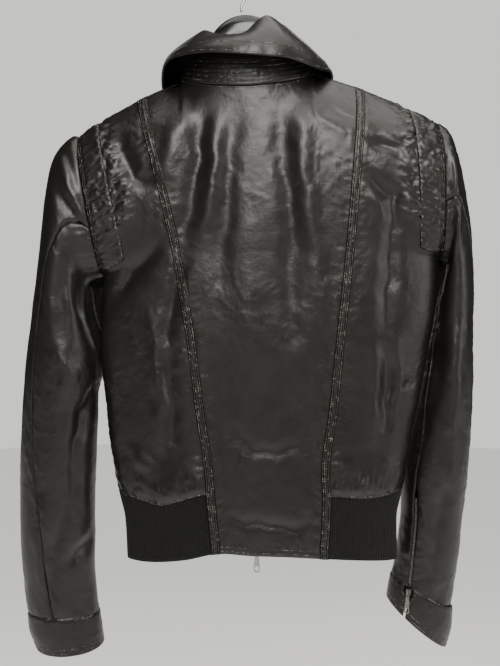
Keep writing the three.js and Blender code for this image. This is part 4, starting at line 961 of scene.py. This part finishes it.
def metal_piece(node, body):
    """A rounded copy of a slider or pull, which moves with its body."""
    piece = node_copy(node, "_metal", "metal", body)
    rounded = piece.modifiers.new("Rounded", "BEVEL")
    rounded.width, rounded.segments, rounded.limit_method = METAL_EDGE * MM, 2, "ANGLE"
    rounded.angle_limit = math.radians(35)
    piece.modifiers.new("Normals", "WEIGHTED_NORMAL").keep_sharp = True


def tooth_shape(length, width, thick):
    """One zip tooth: a block with softened edges, its length along X."""
    bm = bmesh.new()
    bmesh.ops.create_cube(bm, size=1)
    bmesh.ops.scale(bm, vec=(length, width, thick), verts=bm.verts)
    bmesh.ops.bevel(
        bm, geom=bm.edges, offset=0.18 * thick, segments=1, profile=0.5,
        affect="EDGES", material=-1,
    )
    return bm


def toothed_tape(name, flat, turned, rows, tooth):
    """A zip's strip of tape on the piece it is sewn under, with its rows of teeth."""
    tape = cut_sheet(name + "_tape", flat, turned, materials("tape"), TAPE_WALL)
    teeth = many(name + "_teeth", tooth_shape(*tooth), rows, materials("teeth"))
    declare_sheet(tape, flat, name, [teeth])


# ---------------------------------------------------------------- materials
def linear(code):
    """A hex colour of the screen's scale as linear red, green, blue and 1."""
    parts = [int(code[i : i + 2], 16) / 255 for i in (0, 2, 4)]
    return (*((c / 12.92 if c <= 0.04045 else ((c + 0.055) / 1.055) ** 2.4) for c in parts), 1)


def add(tree, kind, inputs=(), **settings):
    """A node with its settings, its inputs set to values or linked from sockets."""
    node = tree.nodes.new(kind)
    for name, value in settings.items():
        setattr(node, name, value)
    for name, value in dict(inputs).items():
        socket = node.inputs[name]
        if isinstance(value, bpy.types.NodeSocket):
            tree.links.new(value, socket)
        else:
            socket.default_value = value
    return node


def new_material(name):
    """An empty material and its tree of nodes."""
    material = bpy.data.materials.new(name)
    material.use_nodes = True
    material.node_tree.nodes.clear()
    return material, material.node_tree


def shaded(material, surface):
    """Ends a material with its shader, whose sockets take the surface's values or links."""
    shader = add(material.node_tree, "ShaderNodeBsdfPrincipled", surface)
    add(material.node_tree, "ShaderNodeOutputMaterial", {"Surface": shader.outputs["BSDF"]})
    return material


def spot_in(tree, kind="Object"):
    """Where a point is, in metres: in the scene, or along and down its cloth for UV."""
    return add(tree, "ShaderNodeTexCoord").outputs[kind]


def per_metre(size):
    """A pattern's scale from its size in mm, for coordinates in metres."""
    return 1 / (size * MM)


def cloudy(tree, spot, size, detail, distortion=0.0, **settings):
    """Noise of that size in mm."""
    inputs = {"Vector": spot, "Scale": per_metre(size), "Detail": detail, "Distortion": distortion}
    return add(tree, "ShaderNodeTexNoise", inputs, **settings).outputs["Fac"]


def bands(tree, cloth, gap, distortion, way):
    """Bands gap mm apart: the Wave texture runs 20 radians a unit at scale 1."""
    scale = 2 * math.pi / 20 * per_metre(gap)
    inputs = {"Vector": cloth, "Scale": scale, "Distortion": distortion}
    return add(tree, "ShaderNodeTexWave", inputs, bands_direction=way).outputs["Fac"]


def bumped(tree, height, strength, depth, under=None):
    """Relief of that depth in mm, laid over another relief or on its own."""
    inputs = {"Height": height, "Strength": strength, "Distance": depth * MM}
    if under is not None:
        inputs["Normal"] = under
    return add(tree, "ShaderNodeBump", inputs).outputs["Normal"]


def spread(tree, factor, low, high, start=0.0, end=1.0):
    """Turns a factor between start and end into a value between low and high."""
    source = {"Value": factor, "From Min": start, "From Max": end}
    return add(tree, "ShaderNodeMapRange", {**source, "To Min": low, "To Max": high}).outputs[0]


def two_tones(tree, factor, first, second):
    """A colour between two hex codes."""
    node = add(tree, "ShaderNodeMix", {"Factor": factor}, data_type="RGBA")
    # The node has sockets of every kind under the same names: 6 and 7 take colours.
    node.inputs[6].default_value, node.inputs[7].default_value = linear(first), linear(second)
    return node.outputs[2]


def calculated(tree, operation, first, second=0.0):
    """The result of a Math node."""
    return add(tree, "ShaderNodeMath", {0: first, 1: second}, operation=operation).outputs[0]


def painted_groove_shade(tree, lines):
    """1 in lines 1 mm wide beside a strip's sewing, where the shade of its stitch grooves is
    painted, and 0 elsewhere.
    """
    across = add(tree, "ShaderNodeSeparateXYZ", {"Vector": spot_in(tree, "UV")}).outputs["X"]
    deepest = 0.0
    for at in lines:
        far = calculated(tree, "ABSOLUTE", calculated(tree, "SUBTRACT", across, at * MM))
        line = spread(tree, far, 1.0, 0.0, 0.3 * MM, 0.7 * MM)
        deepest = calculated(tree, "MAXIMUM", deepest, line)
    return deepest


def glazed_sheepskin(groove_shade_lines=()):
    """Sheep nappa, dyed through and glazed: a tight soft grain under a thin shiny finish, so
    it is near black with broad silvery highlights that break up over the creases.

    Lines given in mm from a strip's first edge lose their shine: painted shade of the stitch
    grooves.
    """
    material, tree = new_material("glazed_sheepskin_nappa")
    spot = spot_in(tree)
    patch = cloudy(tree, spot, 60, 4.0)
    # The real grain is 0.6 mm wide: it is drawn at 1.7 mm, which just shows.
    tiny = {"Vector": spot, "Scale": per_metre(1.7)}
    grain = add(tree, "ShaderNodeTexVoronoi", tiny, feature="SMOOTH_F1").outputs["Distance"]
    # Fine creases, 5 to 8 mm apart, that bending leaves in the finish.
    creases = cloudy(tree, spot, 24, 6.0, 1.1, noise_type="RIDGED_MULTIFRACTAL")
    crumple = cloudy(tree, spot, 13, 3.0, 0.6)
    relief = bumped(tree, grain, 0.3, 0.3)
    relief = bumped(tree, creases, 0.5, 0.6, relief)
    relief = bumped(tree, crumple, 0.5, 1.1, relief)
    shine, coat = 0.5, 0.12
    # Painted shade: in these lines the shine and the coat drop to almost nothing, so they read
    # black like shaded grooves.
    if groove_shade_lines:
        groove_shade = painted_groove_shade(tree, groove_shade_lines)
        shine, coat = spread(tree, groove_shade, 0.5, 0.02), spread(tree, groove_shade, 0.12, 0.0)
    return shaded(material, {
        "Base Color": two_tones(tree, patch, colour_of("leather_dark"), colour_of("leather_worn")),
        "Roughness": spread(tree, cloudy(tree, spot, 17, 5.0), 0.27, 0.52),
        "IOR": 1.5,
        "Specular IOR Level": shine,
        "Coat Weight": coat,
        "Coat Roughness": 0.34,
        "Normal": relief,
        "Coat Normal": relief,
    })


def ribbed_knit():
    """Acrylic rib knit, dyed black: matt fuzzy yarn with a faint sheen at its edges."""
    material, tree = new_material("acrylic_rib_knit")
    cloth = spot_in(tree, "UV")
    # Courses of loops are 1.2 mm high; they are drawn at 1.6 mm to show at all.
    loops = bands(tree, cloth, 1.6, 1.2, "Y")
    return shaded(material, {
        "Base Color": two_tones(tree, cloudy(tree, cloth, 2, 4.0), colour_of("rib"), "131210"),
        "Roughness": 0.9,
        "Specular IOR Level": 0.25,
        "Sheen Weight": 0.12,
        "Sheen Roughness": 0.5,
        "Normal": bumped(tree, loops, 0.6, 0.4),
    })


def spun_thread():
    """Bonded polyester thread: smooth twisted filaments, dark, with painted highlights on some
    stitches.
    """
    material, tree = new_material("bonded_polyester_thread")
    # Painted highlight: stitches picked by noise turn light grey and smoother, standing in for
    # their shine; the rest keep the thread's dark colour.
    painted_glint = spread(tree, cloudy(tree, spot_in(tree), 5, 1.0), 0.0, 1.0, 0.52, 0.66)
    return shaded(material, {
        "Base Color": two_tones(tree, painted_glint, colour_of("thread"), "8d8a82"),
        "Roughness": spread(tree, painted_glint, 0.5, 0.25),
        "Specular IOR Level": 0.7,
    })


def cast_zinc():
    """Die-cast zinc, nickel plated and tumbled: a grey metal with softened highlights."""
    return zip_metal("nickel_plated_zinc", colour_of("metal"), "a3a19a", 0.2)


def tooth_metal():
    """The same zinc oxidised to gunmetal for the teeth: darker, with duller highlights."""
    return zip_metal("gunmetal_zinc", "8b8a85", "5d5c58", 0.36)


def zip_metal(name, bright, handled, smoothest):
    """Zinc between two tones, rougher where it has been handled."""
    material, tree = new_material(name)
    worn_by = cloudy(tree, spot_in(tree), 6, 5.0)
    return shaded(material, {
        "Base Color": two_tones(tree, worn_by, bright, handled),
        "Metallic": 1.0,
        "Roughness": spread(tree, worn_by, smoothest, smoothest + 0.22),
        "Normal": bumped(tree, worn_by, 0.15, 0.2),
    })


def woven_tape():
    """Woven polyester zip tape: a close matt herringbone."""
    material, tree = new_material("woven_polyester_tape")
    # Threads are 0.4 mm apart; they are drawn 1.2 mm apart to show.
    weave = bands(tree, spot_in(tree, "UV"), 1.2, 0.4, "DIAGONAL")
    return shaded(material, {
        "Base Color": two_tones(tree, weave, "141312", "25231f"),
        "Roughness": 0.8,
        "Sheen Weight": 0.15,
        "Normal": bumped(tree, weave, 0.5, 0.2),
    })


def moulded_abs():
    """Injection-moulded ABS, black and polished: hard bright reflections, slightly scuffed."""
    material, tree = new_material("moulded_abs_plastic")
    scuffs = cloudy(tree, spot_in(tree), 25, 7.0)
    return shaded(material, {
        "Base Color": two_tones(tree, scuffs, colour_of("hanger"), "1b1b1e"),
        "Roughness": spread(tree, scuffs, 0.08, 0.24),
        "IOR": 1.54,
    })


def drawn_wire():
    """Chrome-plated drawn steel wire: bright, and faintly clouded by handling."""
    material, tree = new_material("chromed_steel_wire")
    clouds = cloudy(tree, spot_in(tree), 3, 3.0)
    return shaded(material, {
        "Base Color": two_tones(tree, clouds, "c9c9c6", "a9a9a6"),
        "Metallic": 1.0,
        "Roughness": spread(tree, clouds, 0.1, 0.25),
    })


def painted_floor():
    """Smooth pale paint."""
    material, tree = new_material("pale_painted_floor")
    clouds = cloudy(tree, spot_in(tree), 1250, 3.0)
    return shaded(material, {
        "Base Color": two_tones(tree, clouds, colour_of("floor"), "e9e7e2"),
        "Roughness": 0.7,
        "Emission Color": linear("deddd8"),
        "Emission Strength": 1.0,
    })


# A strap is sewn along both its edges, and a strip twice beside the armhole.
MATERIALS = {
    "leather": glazed_sheepskin,
    # The numbers place lines of painted groove shade, in mm from the strip's first edge.
    "strap leather": partial(glazed_sheepskin, (0.3, 3.0, 8.1, 10.8)),
    "strip leather": partial(glazed_sheepskin, (0.4, 3.2, 5.9)),
    "knit": ribbed_knit,
    "thread": spun_thread,
    "metal": cast_zinc,
    "teeth": tooth_metal,
    "tape": woven_tape,
    "hanger": moulded_abs,
    "wire": drawn_wire,
    "floor": painted_floor,
}
MADE = {}


def materials(kind):
    """Makes a material once, and gives it again after that."""
    if kind not in MADE:
        MADE[kind] = MATERIALS[kind]()
    return MADE[kind]


# ---------------------------------------------------------------- sizes and colours
def size_field(name, description, default):
    """A length for the panel, its default in mm."""
    settings = {"name": name, "description": description, "default": default * MM}
    return bpy.props.FloatProperty(**settings, unit="LENGTH")


def colour_field(name, description, default):
    """A colour for the panel, its default a hex code."""
    return bpy.props.StringProperty(name=name, description=description, default=default)


class JacketSizes(bpy.types.PropertyGroup):
    """Sizes of the sewing, the ribs and the zips."""

    crease: size_field("Crease depth", "Height of the leather's small creases", 0.6)
    pucker: size_field("Pucker depth", "Height of the puckers beside the sewing", 0.6)
    stitch_pitch: size_field("Stitch length", "From one stitch to the next", 3.2)
    thread: size_field("Thread", "Thickness of the sewing thread", 0.8)
    rib_pitch: size_field("Rib pitch", "From one knitted rib to the next", 2.5)
    rib_rise: size_field("Rib rise", "How far a knitted rib stands out", 1.1)
    tooth_pitch: size_field("Tooth pitch", "From one tooth of the front zip to the next", 2.5)


class JacketColours(bpy.types.PropertyGroup):
    """Colours, as hex codes of the screen's scale."""

    leather_dark: colour_field("Leather", "The leather's main colour", "100f0c")
    leather_worn: colour_field("Worn leather", "Where the finish is rubbed", "1d1b17")
    rib: colour_field("Ribs", "The knitted ribs", "0f0e0c")
    thread: colour_field("Thread", "The sewing thread", "1e1d1a")
    metal: colour_field("Zip metal", "Sliders and pulls", "d2d1cc")
    hanger: colour_field("Hanger", "The hanger's plastic", "0d0d0f")
    floor: colour_field("Floor", "The floor's paint", "deddd8")


def size_of(name):
    """A size from the panel, in mm."""
    return getattr(bpy.context.scene.jacket_sizes, name) / MM


def colour_of(name):
    """A colour from the panel, as a hex code."""
    return getattr(bpy.context.scene.jacket_colours, name)


# ---------------------------------------------------------------- pieces
class JACKET_OT_back(bpy.types.Operator):
    """Cuts the three panels of the back, puckered beside their seams"""

    bl_idname = "jacket.back"
    bl_label = "Back panels"

    def execute(self, context):
        flat = grid_of(back_centre_surface, (-1, 2), (0, 1), BACK_CELL)
        seams = [
            Seam("start", 1, 8.5, 8, seed=1, lap=HALF_STRAP),
            Seam("end", 1, 9.5, 8, seed=2, lap=HALF_STRAP),
            Seam("top", 0.5, 11, 7, seed=3),
            Seam("bottom", 0.7, 8, 8, seed=4),
        ]
        sewn("back_centre", flat, True, seams, [("bottom", 4), ("bottom", 9), ("top", 3.5)])
        for side in SIDES:
            self.side_back(side)
        return {"FINISHED"}

    def side_back(self, side):
        """The panel between the strap and the side, which runs under the armhole's strip."""
        flat = grid_of(partial(back_side_surface, side), (0, 1), (0, 1), BACK_CELL)
        level = np.linspace(0, STRAP_RIB_LEVEL, len(flat))[:, None]
        strip = lookup(ARMHOLE_STRIP, "level", level, side)
        strip = mix(strip, 0, smoothstep(STRIP_END - 0.01, STRIP_END + 0.01, level))
        # Beside the armhole strip the puckers are four times as high as along the side seam.
        crinkled = 0.8 + 2.8 * smoothstep(0, 8, strip)
        seams = [
            Seam("start", crinkled, 8, 17, seed=5, lap=strip, groove=0),
            Seam("end", 1, 8, 8, seed=6, lap=HALF_STRAP),
            Seam("top", 0.5, 10, 7, seed=7),
            Seam("bottom", 1.9, 8.5, 24, seed=8, groove=0),
        ]
        sewn("back_side_" + side, flat, side == "left", seams, [("bottom", 2.5), ("top", 3.5)])


class JACKET_OT_fronts(bpy.types.Operator):
    """Cuts the two fronts, topstitched beside the zip"""

    bl_idname = "jacket.fronts"
    bl_label = "Fronts"

    def execute(self, context):
        rows = [("end", 2), ("end", 8), ("bottom", 2.5), ("top", 3.5)]
        for side in SIDES:
            flat = grid_of(partial(front_surface, side), (0, 1), (0, 1), FRONT_CELL)
            seams = [
                Seam("start", 1, 10, 8, seed=11),
                Seam("end", 0.8, 9, 9, seed=12, groove=0),
                Seam("top", 0.5, 10, 7, seed=13),
                Seam("bottom", 1.7, 9, 22, seed=14, groove=0),
            ]
            sewn("front_" + side, flat, side == "right", seams, rows)
        return {"FINISHED"}


class JACKET_OT_straps(bpy.types.Operator):
    """Sews the straps over the back's seams and the strips along its armholes"""

    bl_idname = "jacket.straps"
    bl_label = "Straps and armhole strips"

    # Heights at which each strap's lengths are joined by a row of stitches across it.
    JOINTS = {"left": (-653, -676), "right": (-606, -684)}

    def execute(self, context):
        for side in SIDES:
            self.strap(side)
            self.strip(side)
        return {"FINISHED"}

    def strap(self, side):
        """The narrow strap over a back seam, sewn twice along each edge."""
        turned = side == "left"
        flat = grid_of(partial(strap_surface, side), (-1, 1), (0.008, 1), 1.1, 2.4)
        flat = flat + outward_of(flat, turned) * ON_PANEL
        seams = [
            Seam("start", 1, 5, 4, seed=21, groove=0.7, double=3.0),
            Seam("end", 1, 5.6, 4, seed=22, groove=0.7, double=2.9),
        ]

        def joints(points):
            """The rows of stitches across the strap."""
            outward = outward_of(points, turned)
            heights = points[:, points.shape[1] // 2, 2]
            rows = [int(np.abs(heights - height).argmin()) for height in self.JOINTS[side]]
            lift = STRAP_WALL / 2 + ABOVE_LEATHER
            across = [(points[row, 1:-1], outward[row, 1:-1]) for row in rows]
            return [(line + off * lift, off) for line, off in across]

        rows = [("start", 1.6), ("start", 4.0), ("end", 1.6), ("end", 4.0)]
        sewn(
            "back_strap_" + side, flat, turned, seams, rows, crease=1.2, swell=0,
            wall=STRAP_WALL, leather="strap leather", joints=joints,
        )

    def strip(self, side):
        """The crinkled strip along an armhole."""
        turned = side == "left"
        flat = grid_of(partial(strip_surface, side), (0.012, 1), (0.012, STRIP_END), 1.9)
        flat = flat + outward_of(flat, turned) * ON_PANEL
        seams = [
            Seam("start", 2.6, 7, 11, seed=23, groove=1.3, double=4.6),
            Seam("end", 2.4, 8, 11, seed=24, groove=1.0),
            Seam("bottom", 0.5, 8, 4, seed=25),
        ]
        rows = [("start", 1.8), ("start", 4.6), ("end", 1.8), ("bottom", 1.8)]
        sewn(
            "armhole_strip_" + side, flat, turned, seams, rows, crease=3, swell=0.4,
            wall=STRAP_WALL, leather="strip leather",
        )


class JACKET_OT_ribs(bpy.types.Operator):
    """Knits the two ribbed hems, from the straps round the sides to the front zip"""

    bl_idname = "jacket.ribs"
    bl_label = "Ribbed hems"

    COLUMNS_A_RIB = 6

    def execute(self, context):
        pitch = size_of("rib_pitch")
        for side in SIDES:
            turned, name = side == "right", "rib_hem_" + side
            surface = partial(rib_surface, side)
            flat = grid_of(surface, (0, 2), (0, 1), pitch / self.COLUMNS_A_RIB, 5)
            length = lengths_along(flat, 1).mean(axis=0)[None, :]
            wobble = 0.12 * wander(lengths_along(flat, 0) / 17 + length / 31)
            wave = np.cos(2 * np.pi * (length / pitch + wobble))
            hem = smoothstep(0, 4, edge_lengths(flat)["bottom"][0])
            lift = (np.abs(0.5 + 0.5 * wave) ** 0.7 - 0.5) * (0.6 + 0.4 * hem)
            shaped = flat + outward_of(flat, turned) * (size_of("rib_rise") * lift)[..., None]
            knit = cut_sheet(name + "_knit", shaped, turned, materials("knit"), RIB_WALL)
            declare_sheet(knit, flat, name)
        return {"FINISHED"}


class JACKET_OT_collar(bpy.types.Operator):
    """Makes the collar: a stand stitched in rows, and the fall rolled over it"""

    bl_idname = "jacket.collar"
    bl_label = "Collar"

    def execute(self, context):
        flat = grid_of(stand_surface, (-168, 168), (0, 1), 2.3, 2.0)
        far, along = edge_lengths(flat)["top"]
        lift = np.zeros(far.shape)
        for i, inset in enumerate(STAND_ROWS):
            # The leather swells between the rows of stitches and puckers along each.
            lift -= 0.85 * np.exp(-(((far - inset) / 1.6) ** 2))
            wave = np.sin(2 * np.pi * (along / 8 + 0.3 * wander(along / 19 + 3 * i)))
            below = np.exp(-(((far - inset - 2.5) / 2.6) ** 2))
            lift += 0.45 * size_of("pucker") * wave * below
        rows = [("top", inset) for inset in STAND_ROWS]
        sewn("collar_stand", flat, False, [], rows, 0.5, 0.3, COLLAR_WALL, pushed=lift)

        flat = grid_of(fall_surface, (-171, 171), (-0.3, 1), 2.6, 1.6)
        seams = [Seam("bottom", 0.35, 11, 6, seed=31, groove=-0.3)]
        rows = [("bottom", 3), ("bottom", 16), ("start", 3), ("end", 3)]
        sewn("collar_fall", flat, True, seams, rows, 0.7, 0.7, COLLAR_WALL)
        return {"FINISHED"}


class JACKET_OT_sleeves(bpy.types.Operator):
    """Cuts the top and under sleeves, creased where the arms hang"""

    bl_idname = "jacket.sleeves"
    bl_label = "Sleeves"

    def execute(self, context):
        seams = [
            Seam("start", 0.9, 10, 8, seed=41, groove=0.9),
            Seam("end", 0.9, 10, 8, seed=42, groove=0.9),
            Seam("top", 2, 9, 14, seed=43, groove=0.9),
            Seam("bottom", 0.8, 9, 10, seed=44, groove=0.5),
        ]
        for side in SIDES:
            for kind, surface in (("top", top_sleeve_surface), ("under", under_sleeve_surface)):
                flat = grid_of(partial(surface, side), (0, 1), (0, 14), SLEEVE_CELL)
                name, rows = kind + "_sleeve_" + side, [("bottom", 2.5)]
                sewn(name, flat, side == "left", seams, rows, crease=1.1, swell=1.3)
        return {"FINISHED"}


class JACKET_OT_cuffs(bpy.types.Operator):
    """Sews the stitched bands at the wrists"""

    bl_idname = "jacket.cuffs"
    bl_label = "Cuffs"

    def execute(self, context):
        seams = [
            Seam("top", 0.7, 8, 6, seed=51, groove=0.5),
            Seam("bottom", 0.5, 9, 6, seed=52, groove=-0.2),
        ]
        rows = [("top", 3), ("bottom", 3.5), ("bottom", 9), ("start", 3), ("end", 3)]
        for side in SIDES:
            flat = grid_of(partial(cuff_surface, side), (0, 1), (-0.2, 2), 2.2)
            sewn("cuff_" + side, flat, side == "left", seams, rows, 0.8, 0.5, COLLAR_WALL)
        return {"FINISHED"}


class JACKET_OT_front_zip(bpy.types.Operator):
    """Sets the open front zip: two tapes with their teeth, the slider and its pull"""

    bl_idname = "jacket.front_zip"
    bl_label = "Front zip"

    def execute(self, context):
        for side in SIDES:
            turned, name = side == "right", "front_zip_" + side
            flat = grid_of(partial(tape_surface, side), (0, 1), (0.004, ZIP_END_LEVEL), 1.6, 4)
            line, outward = seam_line(flat, turned, "end", 1.2, 0.1)
            rows = [along_line(line, outward, size_of("tooth_pitch"))]
            toothed_tape(name, flat, turned, rows, FRONT_TOOTH)
        metal_piece("front_slider", BODY)
        metal_piece("front_pull", "front_pull")
        return {"FINISHED"}


class JACKET_OT_cuff_zips(bpy.types.Operator):
    """Sets the closed zips in the sleeves' inner seams, with sliders and pulls"""

    bl_idname = "jacket.cuff_zips"
    bl_label = "Cuff zips"

    def execute(self, context):
        for side in SIDES:
            turned, name = side == "left", "cuff_zip_" + side
            surface = partial(cuff_zip_surface, side, CUFF_TAPE_HALF)
            flat = grid_of(surface, (-1, 1), (CUFF_ZIP_TOP + 0.05, 14), 1.2, 4)
            flat = flat - outward_of(flat, turned) * CUFF_TAPE_SUNK
            middle, rows = lengths_along(flat, 1)[:, -1] / 2, []
            # The second side's teeth stand between the first side's.
            for off, skip in ((-0.75, 1.5), (0.75, 1.5 + CUFF_TOOTH_PITCH / 2)):
                line, outward = seam_line(flat, turned, "start", middle + off, 1.5)
                rows.append(along_line(line, outward, CUFF_TOOTH_PITCH, skip))
            toothed_tape(name, flat, turned, rows, CUFF_TOOTH)
            metal_piece("cuff_%s_slider" % side, BODY)
            metal_piece("cuff_%s_pull" % side, "cuff_%s_pull" % side)
        return {"FINISHED"}


class JACKET_OT_hanger(bpy.types.Operator):
    """Moulds the hanger's arms and bends its hook"""

    bl_idname = "jacket.hanger"
    bl_label = "Hanger"

    def execute(self, context):
        for node, kind, slot in (
            ("hanger_body", "hanger", "hanger_plastic"),
            ("hanger_hook", "wire", "hook_metal"),
        ):
            piece = node_copy(node, "_smooth", kind, BODY)
            smooth = piece.modifiers.new("Smooth", "SUBSURF")
            smooth.levels = smooth.render_levels = 2
        return {"FINISHED"}


# ---------------------------------------------------------------- stage
class JACKET_OT_stage(bpy.types.Operator):
    """Lays the floor, sets the soft lights and the camera"""

    bl_idname = "jacket.stage"
    bl_label = "Stage"

    FLOOR_LEVEL = -1650
    CAMERA_AT = (11, -950, -477)
    LENS = 39.876
    WARM = (1.0, 0.99, 0.93)
    # Name, place, what it points at, width, height, watts.
    LIGHTS = (
        ("key", (210, -1450, 690), (0, 0, -230), 780, 860, 25),
        ("near", (-320, -1300, -120), (10, 0, -330), 340, 400, 0.8),
        ("low", (60, -1450, 100), (10, -40, -160), 560, 180, 4.2),
        ("left_fill", (-1700, -700, -300), (0, 0, -480), 900, 1600, 0.4),
        ("right_fill", (1700, -800, -100), (0, 0, -380), 900, 1200, 9),
        ("behind", (0, 1800, 300), (0, 0, -450), 1600, 1200, 16),
        ("above", (250, -200, 1150), (20, 0, -80), 1700, 1500, 21),
    )

    def execute(self, context):
        bm = bmesh.new()
        bmesh.ops.create_circle(bm, cap_ends=True, segments=96, radius=7.0)
        bmesh.ops.translate(bm, vec=(0, 0, self.FLOOR_LEVEL * MM), verts=bm.verts)
        finished(bm, "floor", materials("floor"), flat_shaded=True)
        for lamp in self.LIGHTS:
            self.light(*lamp)
        world = bpy.data.worlds.new("pale_room")
        context.scene.world = world
        world.use_nodes = True
        tree = world.node_tree
        tree.nodes.clear()
        # The room is bright to look at and gives the jacket only a soft, dimmer light.
        pale = {"Color": linear("e8e7e3"), "Strength": 1.2}
        dim = {"Color": linear("dadccf"), "Strength": 0.05}
        seen = add(tree, "ShaderNodeLightPath").outputs["Is Camera Ray"]
        both = [add(tree, "ShaderNodeBackground", inputs) for inputs in (dim, pale)]
        room = add(tree, "ShaderNodeMixShader", {0: seen})
        for i, shade in enumerate(both):
            tree.links.new(shade.outputs["Background"], room.inputs[i + 1])
        add(tree, "ShaderNodeOutputWorld", {"Surface": room.outputs["Shader"]})
        data = bpy.data.cameras.new("view")
        data.lens, data.sensor_width = self.LENS, 36
        camera = bpy.data.objects.new("view", data)
        camera.location = Vector(self.CAMERA_AT) * MM
        camera.rotation_euler = (math.radians(90), 0, 0)
        context.scene.collection.objects.link(camera)
        context.scene.camera = camera
        return {"FINISHED"}

    def light(self, name, at, target, width, height, watts):
        """A soft rectangular light, unseen by the camera."""
        data = bpy.data.lights.new(name, "AREA")
        data.shape, data.size, data.size_y = "RECTANGLE", width * MM, height * MM
        data.energy, data.color = watts, self.WARM
        lamp = bpy.data.objects.new(name, data)
        lamp.location = Vector(at) * MM
        lamp.rotation_euler = (Vector(target) - Vector(at)).to_track_quat("-Z", "Y").to_euler()
        lamp.visible_camera = False
        bpy.context.scene.collection.objects.link(lamp)


OPERATORS = (
    JACKET_OT_back,
    JACKET_OT_fronts,
    JACKET_OT_straps,
    JACKET_OT_ribs,
    JACKET_OT_collar,
    JACKET_OT_sleeves,
    JACKET_OT_cuffs,
    JACKET_OT_front_zip,
    JACKET_OT_cuff_zips,
    JACKET_OT_hanger,
    JACKET_OT_stage,
)


class JACKET_PT_panel(bpy.types.Panel):
    """Lists the jacket's sizes, colours and pieces"""

    bl_label = "Leather jacket"
    bl_idname = "JACKET_PT_panel"
    bl_space_type = "VIEW_3D"
    bl_region_type = "UI"
    bl_category = "Jacket"

    def draw(self, context):
        for group in (context.scene.jacket_sizes, context.scene.jacket_colours):
            box = self.layout.box()
            for name in group.__annotations__:
                box.prop(group, name)
        for operator in OPERATORS:
            self.layout.operator(operator.bl_idname)


CLASSES = (JacketSizes, JacketColours, *OPERATORS, JACKET_PT_panel)


def register():
    for cls in CLASSES:
        bpy.utils.register_class(cls)
    bpy.types.Scene.jacket_sizes = bpy.props.PointerProperty(type=JacketSizes)
    bpy.types.Scene.jacket_colours = bpy.props.PointerProperty(type=JacketColours)


def unregister():
    del bpy.types.Scene.jacket_colours
    del bpy.types.Scene.jacket_sizes
    for cls in reversed(CLASSES):
        bpy.utils.unregister_class(cls)


def main():
    """Makes every piece in order."""
    register()
    for operator in OPERATORS:
        group, name = operator.bl_idname.split(".")
        getattr(getattr(bpy.ops, group), name)()


if __name__ == "__main__":
    main()
